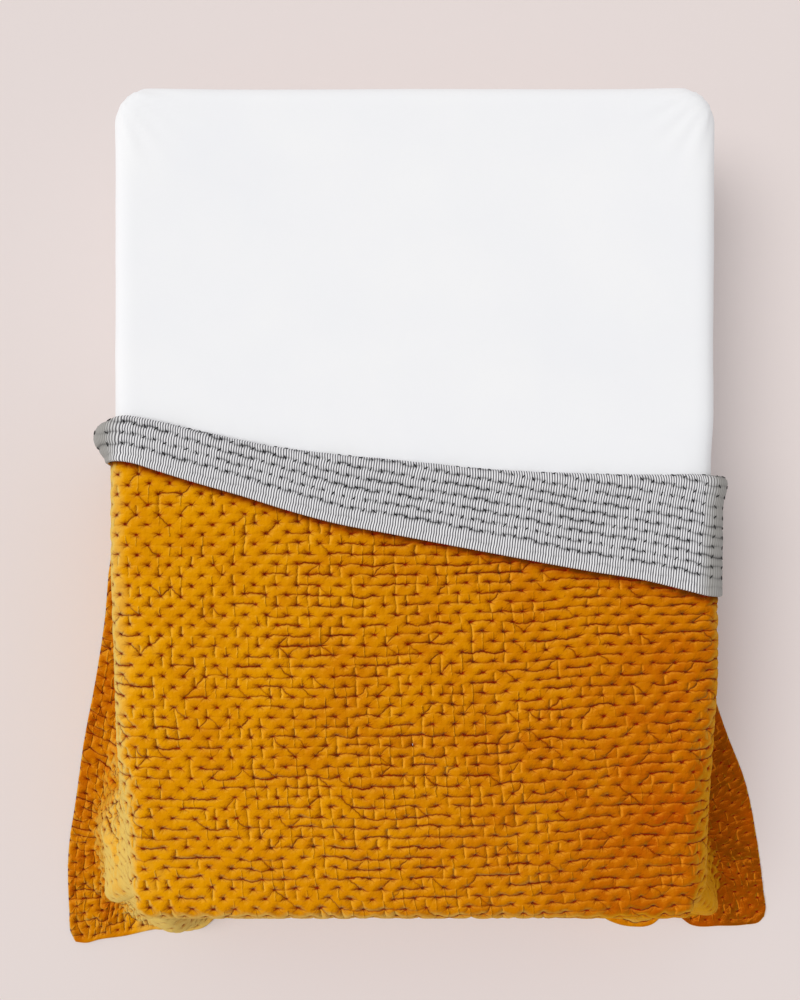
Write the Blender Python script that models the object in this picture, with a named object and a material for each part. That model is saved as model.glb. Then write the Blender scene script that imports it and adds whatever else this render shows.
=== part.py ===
"""A kantha quilt on a low bed: a velvet face and a striped cotton backing, sewn as one quilt.

The quilt lies over the foot of the bed. It falls over both sides and the foot to the floor, where its
hem spreads and its two corners lie flat, and its head end is turned back so that the backing shows.
Metres, +Z up. The origin is at the middle of the bed base's underside, +Y points to the head.
"""
import math
from collections import namedtuple

import bmesh
import bpy
import numpy as np

# Bed
BED_WIDTH = 1.37
BED_LENGTH = 1.88
BED_TOP = 0.38
BASE_HEIGHT = 0.13
BASE_INSET = 0.020
BASE_EDGE = 0.006
PLAN_CORNER = 0.080
MATTRESS_EDGE = 0.046
MATTRESS_LOWER_EDGE = 0.025
CORNER_SEGMENTS = 6
EDGE_SEGMENTS = 4

# Quilt, flat
HALF_WIDTH = 1.170
FOOT_HEM = 1.365
SHEET = 0.0035
PIECE_GAP = 0.0003

# Quilt, draped
SIDE_GAP = 0.0025
FLOOR_GAP = 0.0008
EDGE_BEND = 0.036
CORNER_STAND = 0.010
FOLD_BEND = 0.0105
LAYER_GAP = 0.0035
FOLD_SETTLE = 0.060
END_STAND = 0.017
END_PLACE = 0.143
END_WIDTH = 0.036

# The curve of the fall. hold: how far out it stands half way down, as a share of the knee.
HOLD_LEAST = 0.10
HOLD_MOST = 0.45
HOLD_RISE = 2.4
HOLD_KNEE = 0.06
LEAN_HOLD = 0.74
LEAN_START = 0.33
DROP_SHARE = 0.36
LEAN_DROP = 0.26
LEAN_FOOT = 0.05
SWELL_START = 0.3
SWELL_END = 0.2

# The mattress, where its soft edges give under the quilt: down and in, more towards the foot's corners
GIVE_DOWN = 0.030
GIVE_IN = 0.014
GIVE_REACH = 0.095
GIVE_LEVEL = 0.14
GIVE_HEIGHT = 0.20
GIVE_FIRST = 0.22
GIVE_LEFT_CORNER = 0.90
GIVE_RIGHT_CORNER = 0.35
GIVE_HELD = 0.55
GIVE_HELD_PLACE = -0.38
GIVE_HELD_WIDTH = 0.15
GIVE_CORNER_SIDE = 0.05
GIVE_CORNER_START = -0.55
GIVE_CORNER_RUN = 0.30
GIVE_START = 0.20
GIVE_START_RUN = 0.12
GIVE_FULL = -0.05
GIVE_FULL_RUN = 0.75
GIVE_SPARE = 1.12
GIVE_AHEAD = 0.006

HALF_X = BED_WIDTH / 2
HALF_Y = BED_LENGTH / 2
CORE_X = HALF_X - PLAN_CORNER
CORE_Y = HALF_Y - PLAN_CORNER
WALL_RADIUS = PLAN_CORNER + SIDE_GAP
EDGE_START = WALL_RADIUS - EDGE_BEND
EDGE_LENGTH = EDGE_BEND * math.pi / 2
TOP_Z = BED_TOP + PIECE_GAP
QUILT_THICKNESS = 2 * SHEET + PIECE_GAP
MIDDLE = QUILT_THICKNESS / 2
SIDE_REACH = HALF_WIDTH - CORE_X
FOOT_REACH = FOOT_HEM - CORE_Y

# The hem as it lies on the floor. along: place on the flat hem, measured from the middle of the foot,
# negative to the left, so the corners are at -HALF_WIDTH and HALF_WIDTH and the sides run on past them.
# knee: how far out from the bed the fall meets the floor. lean: how far the fall leans out on its way, from
# 0 for a fall that starts upright to 1 for one that slants all the way down.
Hem = namedtuple("Hem", "along x y knee lean")
LEFT_HEM = (
    Hem(-2.985, -0.785, 0.450, 0.070, 0.00),
    Hem(-2.735, -0.790, 0.200, 0.074, 0.00),
    Hem(-2.435, -0.798, -0.100, 0.070, 0.00),
    Hem(-2.361, -0.812, -0.162, 0.068, 0.00),
    Hem(-2.174, -0.828, -0.324, 0.075, 0.00),
    Hem(-1.970, -0.855, -0.499, 0.092, 0.10),
    Hem(-1.800, -0.882, -0.640, 0.148, 0.60),
    Hem(-1.610, -0.906, -0.809, 0.163, 0.90),
    Hem(-1.452, -0.925, -0.944, 0.168, 1.00),
    Hem(-1.265, -0.923, -1.108, 0.200, 0.80),
    Hem(-1.205, -0.919, -1.164, 0.215, 0.70),
    Hem(-1.170, -0.905, -1.188, 0.217, 0.70),
)
FOOT_HEM_LINE = (
    Hem(-1.170, -0.905, -1.188, 0.217, 0.70),
    Hem(-1.135, -0.880, -1.191, 0.214, 0.70),
    Hem(-1.073, -0.842, -1.182, 0.210, 0.70),
    Hem(-0.985, -0.777, -1.173, 0.212, 0.80),
    Hem(-0.862, -0.688, -1.154, 0.216, 0.90),
    Hem(-0.697, -0.562, -1.150, 0.204, 0.90),
    Hem(-0.600, -0.512, -1.108, 0.150, 0.60),
    Hem(-0.480, -0.430, -1.062, 0.095, 0.30),
    Hem(-0.280, -0.270, -1.024, 0.064, 0.00),
    Hem(0.000, 0.000, -1.010, 0.056, 0.00),
    Hem(0.280, 0.275, -1.024, 0.064, 0.00),
    Hem(0.480, 0.440, -1.070, 0.100, 0.30),
    Hem(0.600, 0.530, -1.132, 0.175, 0.80),
    Hem(0.690, 0.590, -1.147, 0.194, 0.90),
    Hem(0.770, 0.645, -1.141, 0.190, 0.80),
    Hem(0.835, 0.692, -1.106, 0.165, 0.75),
    Hem(0.907, 0.749, -1.142, 0.205, 0.85),
    Hem(1.007, 0.830, -1.145, 0.215, 0.90),
    Hem(1.100, 0.895, -1.142, 0.205, 0.90),
    Hem(1.140, 0.930, -1.136, 0.202, 0.80),
    Hem(1.170, 0.946, -1.120, 0.200, 0.50),
)
RIGHT_HEM = (
    Hem(1.170, 0.946, -1.120, 0.200, 0.50),
    Hem(1.200, 0.951, -1.097, 0.190, 0.50),
    Hem(1.240, 0.947, -1.066, 0.175, 0.50),
    Hem(1.425, 0.928, -0.917, 0.130, 0.30),
    Hem(1.620, 0.895, -0.755, 0.112, 0.10),
    Hem(1.790, 0.842, -0.615, 0.100, 0.00),
    Hem(1.935, 0.806, -0.500, 0.086, 0.00),
    Hem(2.190, 0.792, -0.300, 0.074, 0.00),
    Hem(2.435, 0.785, -0.100, 0.070, 0.00),
    Hem(2.985, 0.780, 0.450, 0.070, 0.00),
)

# Swells of the cloth in the fall, where it stands out over the corner before it meets the floor.
Swell = namedtuple("Swell", "along width height tallness out")
SWELLS = (
    Swell(-1.230, 0.110, 0.42, 0.20, 0.035),
    Swell(-0.760, 0.110, 0.58, 0.24, 0.036),
    Swell(-1.640, 0.080, 0.62, 0.22, 0.018),
    Swell(-1.900, 0.090, 0.50, 0.25, -0.014),
    Swell(1.035, 0.105, 0.50, 0.24, 0.040),
    Swell(0.640, 0.080, 0.62, 0.26, 0.026),
    Swell(1.500, 0.120, 0.50, 0.25, -0.012),
)

# The turned-back head end. across: place across the flat quilt. fold: where the lower layer ends.
# band: how far the turned layer runs back. lean: how far it slants to the left as it does.
Turn = namedtuple("Turn", "across fold band lean")
TURNS = (
    Turn(-1.170, 0.120, 0.050, 0.00),
    Turn(-0.740, 0.130, 0.054, 0.00),
    Turn(-0.700, 0.143, 0.060, 0.04),
    Turn(-0.660, 0.171, 0.084, 0.12),
    Turn(-0.615, 0.169, 0.088, 0.14),
    Turn(-0.570, 0.160, 0.093, 0.16),
    Turn(-0.478, 0.139, 0.100, 0.19),
    Turn(-0.366, 0.114, 0.107, 0.19),
    Turn(-0.255, 0.096, 0.123, 0.19),
    Turn(-0.144, 0.084, 0.140, 0.19),
    Turn(-0.033, 0.073, 0.150, 0.18),
    Turn(0.189, 0.052, 0.171, 0.14),
    Turn(0.412, 0.043, 0.203, 0.11),
    Turn(0.534, 0.041, 0.221, 0.10),
    Turn(0.628, 0.042, 0.245, 0.09),
    Turn(0.674, 0.040, 0.256, 0.05),
    Turn(0.730, 0.034, 0.256, 0.00),
    Turn(1.170, 0.020, 0.264, 0.00),
)

# Where the mattress is cut so that it can bend
MATTRESS_CUTS_ACROSS = (0.605, 0.6207, 0.6363)
MATTRESS_CUTS_ALONG = (0.20, 0.16, 0.12, 0.08, -0.05, -0.22, -0.40, -0.55, -0.65, -0.75, -0.86, -0.885)
MATTRESS_CUTS_UP = (0.20, 0.27)

# Grid of each sheet: how many cells each stretch of it has
FALL_CELLS = 8
NEAR_CELLS = 2
NEAR_LENGTH = 0.070
EDGE_CELLS = 4
CORE_CELLS = 3
TOP_CELLS = 11
LENGTH_CELLS = 8
APPROACH_CELLS = 6
TURN_CELLS = 6
BAND_CELLS = 5
BAND_APPROACH = 0.150
PATH_STEPS = 14
NORMAL_STEP = 0.0015


def column(table, name):
    """One named column of a table, as an array."""
    return np.array([getattr(row, name) for row in table])


def smooth(table, knots, name, at):
    """A smooth curve through a table's rows, read at the places given, straight past its ends."""
    place = column(table, knots)
    value = column(table, name)
    slope = np.gradient(value, place)
    i = np.clip(np.searchsorted(place, at) - 1, 0, len(place) - 2)
    span = place[i + 1] - place[i]
    t = np.clip((at - place[i]) / span, 0, 1)
    rise = value[i] * (1 + 2 * t) * (1 - t) ** 2 + value[i + 1] * t * t * (3 - 2 * t)
    bend = span * (slope[i] * t * (1 - t) ** 2 - slope[i + 1] * t * t * (1 - t))
    past = np.minimum(at - place[0], 0) * slope[0] + np.maximum(at - place[-1], 0) * slope[-1]
    return rise + bend + past


def hem(name, along):
    """A column of the hem's tables at places along the flat hem."""
    left = smooth(LEFT_HEM, "along", name, along)
    foot = smooth(FOOT_HEM_LINE, "along", name, along)
    right = smooth(RIGHT_HEM, "along", name, along)
    return np.where(along < -HALF_WIDTH, left, np.where(along > HALF_WIDTH, right, foot))


def ease(t):
    """A soft step from 0 to 1."""
    t = np.clip(t, 0, 1)
    return t * t * (3 - 2 * t)


def fall_point(u, knee, lean, height):
    """The fall from the bed's edge to the floor, as (out, up), for u from 0 to 1."""
    hold = knee * np.clip(HOLD_LEAST + HOLD_RISE * (knee - HOLD_KNEE), HOLD_LEAST, HOLD_MOST)
    hold = hold + (LEAN_HOLD * knee - hold) * lean
    early = 3 * (1 - u) ** 2 * u
    late = 3 * (1 - u) * u * u
    out = early * LEAN_START * knee * lean + late * hold + u ** 3 * knee
    up = height * ((1 - u) ** 3 + early * (DROP_SHARE + LEAN_DROP * lean) + late * LEAN_FOOT * lean)
    return out, up


def give(x, y, z, scale=1, ahead=0):
    """Points of the mattress or the quilt once the mattress's edges have given under the quilt.

    scale and ahead make the mattress give a little more and sooner than the quilt does.
    """
    past_side = np.maximum(np.abs(x) - CORE_X, 0)
    past_foot = np.maximum(-y - CORE_Y, 0) * ease(past_side / GIVE_CORNER_SIDE)
    past = np.hypot(past_side, past_foot)
    past = past + ahead * ease(past / GIVE_AHEAD)
    corner = np.where(x < 0, GIVE_LEFT_CORNER, GIVE_RIGHT_CORNER) * ease((GIVE_CORNER_START - y) / GIVE_CORNER_RUN)
    first = GIVE_FIRST * ease((GIVE_START - y) / GIVE_START_RUN)
    share = first + (1 - GIVE_FIRST) * ease((GIVE_FULL - y) / GIVE_FULL_RUN) + corner
    held = GIVE_HELD * (x > 0) * np.exp(-((y - GIVE_HELD_PLACE) / GIVE_HELD_WIDTH) ** 2)
    share = scale * share * (1 - held) * ease(past / GIVE_REACH) * ease((z - GIVE_LEVEL) / GIVE_HEIGHT)
    return x - np.sign(x) * GIVE_IN * share, y, z - GIVE_DOWN * share


def lay(a, b):
    """Where the quilt's underside lies, for points a across and b along the flat quilt."""
    side = np.where(a < 0, -1.0, 1.0)
    over_x = np.maximum(np.abs(a) - CORE_X, 0)
    over_y = np.maximum(-b - CORE_Y, 0)
    ray = np.maximum(np.hypot(over_x, over_y), 1e-9)
    cos_ray = over_x / ray
    sin_ray = over_y / ray
    on_side = over_x * FOOT_REACH >= over_y * SIDE_REACH
    safe_x = np.maximum(over_x, 1e-9)
    safe_y = np.maximum(over_y, 1e-9)
    down_side = np.where(over_y > 0, -CORE_Y - SIDE_REACH * over_y / safe_x, b)
    along_foot = np.where(over_x > 0, CORE_X + FOOT_REACH * over_x / safe_y, np.abs(a))
    along = side * np.where(on_side, HALF_WIDTH + down_side + FOOT_HEM, along_foot)
    reach = np.where(on_side, SIDE_REACH / np.maximum(cos_ray, 1e-9),
                     FOOT_REACH / np.maximum(sin_ray, 1e-9)) - EDGE_START
    past_edge = ray - EDGE_START

    core_x = side * np.minimum(np.abs(a), CORE_X)
    core_y = np.maximum(b, -CORE_Y)
    stand = CORNER_STAND * (2 * sin_ray * cos_ray) ** 2
    stand = stand + np.where(a < 0, END_STAND * np.exp(-((b - END_PLACE) / END_WIDTH) ** 2), 0)
    turn = np.clip(past_edge / EDGE_BEND, 0, math.pi / 2)
    plan = np.where(past_edge > 0, EDGE_START + EDGE_BEND * np.sin(turn), ray) + stand * np.sin(turn)
    x = core_x + side * cos_ray * plan
    y = core_y - sin_ray * plan
    z = TOP_Z - EDGE_BEND * (1 - np.cos(turn))

    wall_x = core_x + side * cos_ray * (WALL_RADIUS + stand)
    wall_y = core_y - sin_ray * (WALL_RADIUS + stand)
    to_x = hem("x", along) - wall_x
    to_y = hem("y", along) - wall_y
    run = np.hypot(to_x, to_y)
    knee = np.minimum(hem("knee", along), run)
    lean = hem("lean", along)
    height = TOP_Z - EDGE_BEND - FLOOR_GAP
    steps = np.linspace(0, 1, PATH_STEPS + 1)
    outs, ups = fall_point(steps[None, :], knee.reshape(-1, 1), lean.reshape(-1, 1), height)
    pieces = np.hypot(np.diff(outs, axis=1), np.diff(ups, axis=1))
    path = np.concatenate([np.zeros((len(pieces), 1)), np.cumsum(pieces, axis=1)], axis=1)
    fall = path[:, -1].reshape(knee.shape)
    share = (past_edge - EDGE_LENGTH) / (reach - EDGE_LENGTH)
    gone = np.maximum(share, 0) * (fall + run - knee)
    i = np.clip((path <= gone.reshape(-1, 1)).sum(axis=1) - 1, 0, PATH_STEPS - 1)
    row = np.arange(len(i))
    piece = np.maximum(path[row, i + 1] - path[row, i], 1e-9)
    u = (steps[i] + np.clip((gone.reshape(-1) - path[row, i]) / piece, 0, 1) / PATH_STEPS).reshape(knee.shape)
    out, up = fall_point(u, knee, lean, height)
    out = out + np.maximum(gone - fall, 0)
    for swell in SWELLS:
        near = np.exp(-((along - swell.along) / swell.width) ** 2)
        level = np.exp(-((u - swell.height) / swell.tallness) ** 2)
        out = out + swell.out * near * level * ease(u / SWELL_START) * ease((1 - u) / SWELL_END)
    falls = share > 0
    x = np.where(falls, wall_x + to_x / run * out, x)
    y = np.where(falls, wall_y + to_y / run * out, y)
    z = np.where(falls, FLOOR_GAP + up, z)
    return np.stack(give(x, y, z), axis=-1)


def above(a, b, height):
    """A point at a height over the quilt's underside, square to it."""
    across = lay(a + NORMAL_STEP, b) - lay(a - NORMAL_STEP, b)
    length = lay(a, b + NORMAL_STEP) - lay(a, b - NORMAL_STEP)
    normal = np.cross(across, length)
    normal /= np.maximum(np.linalg.norm(normal, axis=-1, keepdims=True), 1e-12)
    return lay(a, b) + normal * height[..., None]


def quilt_point(a, row, offset):
    """A point of the quilt. row is 0 to 1 up the lower layer, 1 to 2 round the fold and 2 to 3 back.

    offset is the distance from the middle of the quilt's thickness, towards the velvet.
    """
    fold = smooth(TURNS, "across", "fold", a)
    band = smooth(TURNS, "across", "band", a)
    lean = smooth(TURNS, "across", "lean", a)
    lower = np.clip(row, 0, 1)
    angle = np.pi * (np.clip(row - 1, 0, 1) - 0.5)
    back = np.clip(row - 2, 0, 1) * band
    settle = ease(back / FOLD_SETTLE)
    rest = MIDDLE + QUILT_THICKNESS + LAYER_GAP
    top = MIDDLE + 2 * FOLD_BEND
    on_fold = (row > 1) & (row <= 2)
    on_band = row > 2
    height = np.where(on_band, top + (rest - top) * settle - offset,
                      np.where(on_fold, MIDDLE + FOLD_BEND + (FOLD_BEND - offset) * np.sin(angle), MIDDLE + offset))
    ahead = np.where(on_fold, (FOLD_BEND - offset) * np.cos(angle), 0)
    slant = np.where(on_band, lean * back, 0)
    b = np.where(row <= 1, -FOOT_HEM + lower * (FOOT_HEM + fold), fold + ahead - back * np.sqrt(1 - lean ** 2))
    return above(a - slant, b, height)


def stops(*stretches):
    """Grid stops from (start, end, cells) stretches that follow on from each other."""
    points = [np.linspace(start, end, cells, endpoint=False) for start, end, cells in stretches]
    return np.concatenate(points + [[stretches[-1][1]]])


def across_stops():
    """The grid's stops across the quilt, close together where it bends over the bed's edges."""
    start = CORE_X + EDGE_START
    end = start + EDGE_LENGTH
    near = end + NEAR_LENGTH
    return stops((-HALF_WIDTH, -near, FALL_CELLS), (-near, -end, NEAR_CELLS), (-end, -start, EDGE_CELLS),
                 (-start, -CORE_X, CORE_CELLS), (-CORE_X, CORE_X, TOP_CELLS), (CORE_X, start, CORE_CELLS),
                 (start, end, EDGE_CELLS), (end, near, NEAR_CELLS), (near, HALF_WIDTH, FALL_CELLS))


def row_stops(fold):
    """The grid's rows for one column, as quilt_point counts them, close together at the foot's edge."""
    length = FOOT_HEM + fold
    core = FOOT_HEM - CORE_Y
    start = core - EDGE_START
    end = start - EDGE_LENGTH
    near = end - NEAR_LENGTH
    lower = stops((0, near, FALL_CELLS), (near, end, NEAR_CELLS), (end, start, EDGE_CELLS),
                  (start, core, CORE_CELLS), (core, length - BAND_APPROACH, LENGTH_CELLS),
                  (length - BAND_APPROACH, length, APPROACH_CELLS)) / length
    rest = stops((1, 2, TURN_CELLS), (2, 3, BAND_CELLS))
    return np.concatenate([lower, rest[1:]])


def make_object(name, bm, material):
    """Puts a bmesh in the scene as a named object."""
    mesh = bpy.data.meshes.new(name)
    bm.to_mesh(mesh)
    bm.free()
    mesh.materials.append(material)
    obj = bpy.data.objects.new(name, mesh)
    bpy.context.scene.collection.objects.link(obj)
    return obj


def make_material(name, colour, roughness):
    """A plain matt finish."""
    material = bpy.data.materials.new(name)
    material.use_nodes = True
    shader = material.node_tree.nodes["Principled BSDF"]
    shader.inputs["Base Color"].default_value = (*colour, 1)
    shader.inputs["Roughness"].default_value = roughness
    shader.inputs["Metallic"].default_value = 0
    return material


def make_sheet(name, inner, outer, material):
    """One of the quilt's two cloths, between two offsets from the middle of its thickness."""
    across = across_stops()
    rows = np.stack([row_stops(fold) for fold in smooth(TURNS, "across", "fold", across)])
    columns, lines = rows.shape
    bm = bmesh.new()
    bmesh.ops.create_grid(bm, x_segments=columns - 1, y_segments=lines - 1, size=0.5)
    bmesh.ops.triangulate(bm, faces=bm.faces[:], quad_method="FIXED")
    doubled = bmesh.ops.extrude_face_region(bm, geom=bm.faces[:], use_keep_orig=True)
    raised = [item for item in doubled["geom"] if isinstance(item, bmesh.types.BMVert)]
    bmesh.ops.translate(bm, vec=(0, 0, 1), verts=raised)
    flat = np.array([vert.co[:] for vert in bm.verts])
    i = np.rint((flat[:, 0] + 0.5) * (columns - 1)).astype(int)
    j = np.rint((flat[:, 1] + 0.5) * (lines - 1)).astype(int)
    offset = np.where(flat[:, 2] > 0.5, outer, inner)
    for vert, place in zip(bm.verts, quilt_point(across[i], rows[i, j], offset)):
        vert.co = place
    bmesh.ops.triangulate(bm, faces=[face for face in bm.faces if len(face.verts) > 3])
    bmesh.ops.recalc_face_normals(bm, faces=bm.faces)
    return make_object(name, bm, material)


def make_block(name, size, lift, corner, lower_edge, upper_edge, material):
    """A bed part: a block with rounded corners in plan and rounded edges."""
    bm = bmesh.new()
    bmesh.ops.create_cube(bm, size=1)
    bmesh.ops.scale(bm, vec=size, verts=bm.verts)
    bmesh.ops.translate(bm, vec=(0, 0, lift + size[2] / 2), verts=bm.verts)
    upright = [edge for edge in bm.edges if abs(edge.verts[0].co.z - edge.verts[1].co.z) > size[2] / 2]
    bmesh.ops.bevel(bm, geom=upright, offset=corner, segments=CORNER_SEGMENTS, profile=0.5, affect="EDGES",
                    material=-1)
    for level, radius in ((lift + size[2], upper_edge), (lift, lower_edge)):
        rim = [edge for edge in bm.edges if all(abs(vert.co.z - level) < 1e-5 for vert in edge.verts)]
        bmesh.ops.bevel(bm, geom=rim, offset=radius, segments=EDGE_SEGMENTS, profile=0.5, affect="EDGES",
                        material=-1)
    return make_object(name, bm, material)


def press_mattress(mattress):
    """Cuts the mattress finely enough to bend, and lets its edges give."""
    bm = bmesh.new()
    bm.from_mesh(mattress.data)
    cuts = [(x * side, 0, 0) for x in MATTRESS_CUTS_ACROSS for side in (-1, 1)]
    cuts += [(0, y, 0) for y in MATTRESS_CUTS_ALONG] + [(0, 0, z) for z in MATTRESS_CUTS_UP]
    for place in cuts:
        normal = tuple(float(value != 0) for value in place)
        bmesh.ops.bisect_plane(bm, geom=bm.verts[:] + bm.edges[:] + bm.faces[:], plane_co=place, plane_no=normal)
    for vert in bm.verts:
        vert.co = [float(value) for value in give(*vert.co, scale=GIVE_SPARE, ahead=GIVE_AHEAD)]
    bmesh.ops.triangulate(bm, faces=bm.faces[:])
    bm.to_mesh(mattress.data)
    bm.free()


def main():
    """Builds the bed and the quilt on it."""
    for obj in list(bpy.data.objects):
        bpy.data.objects.remove(obj)
    velvet = make_material("mustard_velvet", (0.56, 0.25, 0.010), 0.85)
    stripe = make_material("striped_cotton", (0.40, 0.40, 0.41), 0.80)
    sheeting = make_material("white_sheeting", (0.85, 0.85, 0.87), 0.80)
    plain = make_material("plain_base_cloth", (0.70, 0.70, 0.71), 0.85)

    base_width = BED_WIDTH - 2 * BASE_INSET
    base_length = BED_LENGTH - 2 * BASE_INSET
    make_block("bed_base", (base_width, base_length, BASE_HEIGHT), 0, PLAN_CORNER - BASE_INSET,
               BASE_EDGE, BASE_EDGE, plain)
    mattress_height = BED_TOP - BASE_HEIGHT - PIECE_GAP
    mattress = make_block("mattress", (BED_WIDTH, BED_LENGTH, mattress_height), BASE_HEIGHT + PIECE_GAP,
                          PLAN_CORNER, MATTRESS_LOWER_EDGE, MATTRESS_EDGE, sheeting)
    press_mattress(mattress)
    make_sheet("quilt_backing", -MIDDLE, -MIDDLE + SHEET, stripe)
    make_sheet("quilt_face", MIDDLE - SHEET, MIDDLE, velvet)


main()
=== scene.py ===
"""A kantha quilt on a low bed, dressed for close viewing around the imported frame.

The quilt is two cloths sewn together: a mustard velvet face and a striped cotton backing. It falls over
both sides and the foot of the bed to the floor, and its head end is turned back on a slant. Everything is
in metres, in the frame's own axes: +Z is up and +Y points to the head of the bed.
"""
from __future__ import annotations

import logging
import math
from dataclasses import dataclass, field
from enum import Enum
from typing import Any, NamedTuple, Sequence

import bmesh
import bpy
import numpy as np
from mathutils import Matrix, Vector
from numpy.typing import NDArray

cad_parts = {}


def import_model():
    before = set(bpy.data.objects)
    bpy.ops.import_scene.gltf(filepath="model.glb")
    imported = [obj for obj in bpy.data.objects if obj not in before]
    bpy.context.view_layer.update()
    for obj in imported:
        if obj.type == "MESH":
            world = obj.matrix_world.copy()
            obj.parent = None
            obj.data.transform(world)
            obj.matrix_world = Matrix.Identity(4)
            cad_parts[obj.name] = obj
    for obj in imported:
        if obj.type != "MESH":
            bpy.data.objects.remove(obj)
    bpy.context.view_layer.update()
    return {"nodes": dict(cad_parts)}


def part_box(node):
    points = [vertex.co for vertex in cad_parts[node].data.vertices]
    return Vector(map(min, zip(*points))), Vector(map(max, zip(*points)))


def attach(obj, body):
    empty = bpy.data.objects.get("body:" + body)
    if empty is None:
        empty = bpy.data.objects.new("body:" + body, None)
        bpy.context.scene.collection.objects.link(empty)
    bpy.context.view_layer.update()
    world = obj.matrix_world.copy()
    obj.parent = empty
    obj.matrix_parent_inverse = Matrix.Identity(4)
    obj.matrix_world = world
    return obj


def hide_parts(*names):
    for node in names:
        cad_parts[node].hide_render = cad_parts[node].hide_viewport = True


Array = NDArray[np.float64]
LOG = logging.getLogger("kantha_quilt")
MM = 0.001
ROOT_BODY = "root"
FLOOR_CLEAR = 0.3 * MM

# The quilt as it was cut, and its stitches: columns from its middle to its side, and from row to row
HALF_WIDTH = 1.170
SIDE_COLUMNS = 49
ROW_PITCH = 22.65 * MM

# Guards against dividing by nothing, how far short of a line a stretch of stops ends, and how near is level
TINY = 1e-9
TINIEST = 1e-12
NEARLY = 1e-6
LEVEL = 1e-5

# What a wave texture multiplies its own scale by
WAVE_SCALE = 20


# ---------------------------------------------------------------- shaders


def linear(hex_colour: str) -> tuple[float, float, float, float]:
    """Turns an sRGB hex colour into the linear values a shader takes.

    Args:
        hex_colour: six hex digits, such as "d9960c".

    Returns:
        Red, green, blue and an alpha of 1.
    """
    parts = [int(hex_colour[i:i + 2], 16) / 255 for i in (0, 2, 4)]
    red, green, blue = (p / 12.92 if p <= 0.04045 else ((p + 0.055) / 1.055) ** 2.4 for p in parts)
    return (red, green, blue, 1.0)


class ClothShader:
    """A material's node tree while it is being built."""

    def __init__(self, name: str) -> None:
        """Starts a material with an empty tree."""
        self.material = bpy.data.materials.new(name)
        self.material.use_nodes = True
        self.tree = self.material.node_tree
        self.tree.nodes.clear()

    def add(self, kind: str, *values: Any, out: int | str = 0, named: dict[Any, Any] | None = None,
            **settings: Any) -> bpy.types.NodeSocket | None:
        """Adds one node with its settings and links.

        Args:
            kind: the node's type, without the ShaderNode in front.
            values: what goes into its first sockets, in order: a value, or a socket to link.
            out: the output that is wanted, by name or number.
            named: what goes into other sockets, by name or number.
            settings: the node's own properties.

        Returns:
            The wanted output, or None for a node without outputs.
        """
        made = self.tree.nodes.new("ShaderNode" + kind)
        for key, value in settings.items():
            setattr(made, key, value)
        for key, value in (dict(enumerate(values)) | (named or {})).items():
            if isinstance(value, bpy.types.NodeSocket):
                self.tree.links.new(value, made.inputs[key])
            else:
                made.inputs[key].default_value = value
        return made.outputs[out] if made.outputs else None

    def finish(self, **surface: Any) -> bpy.types.Material:
        """Adds the surface and the output.

        Args:
            surface: the surface's sockets by name, with _ for each space.

        Returns:
            The material.
        """
        sockets = {key.replace("_", " "): value for key, value in surface.items()}
        self.add("OutputMaterial", self.add("BsdfPrincipled", named=sockets))
        return self.material


@dataclass(frozen=True)
class StitchPitch:
    """How far apart the hand stitches are: half the way along a row from one to the next, and row to row."""

    half: float
    row: float

    @property
    def slant(self) -> float:
        """The distance across one half cell, square to its diagonal."""
        return self.half * self.row / math.hypot(self.half, self.row)


class Ramp(NamedTuple):
    """A share that goes from one value, at one reading, to another at another."""

    start: float
    end: float
    first: float = 0.0
    last: float = 1.0


class Line(NamedTuple):
    """A crease as it shows: how wide it is, and how much of the crease's painted shade colour it takes."""

    width: float
    tint: float


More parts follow.
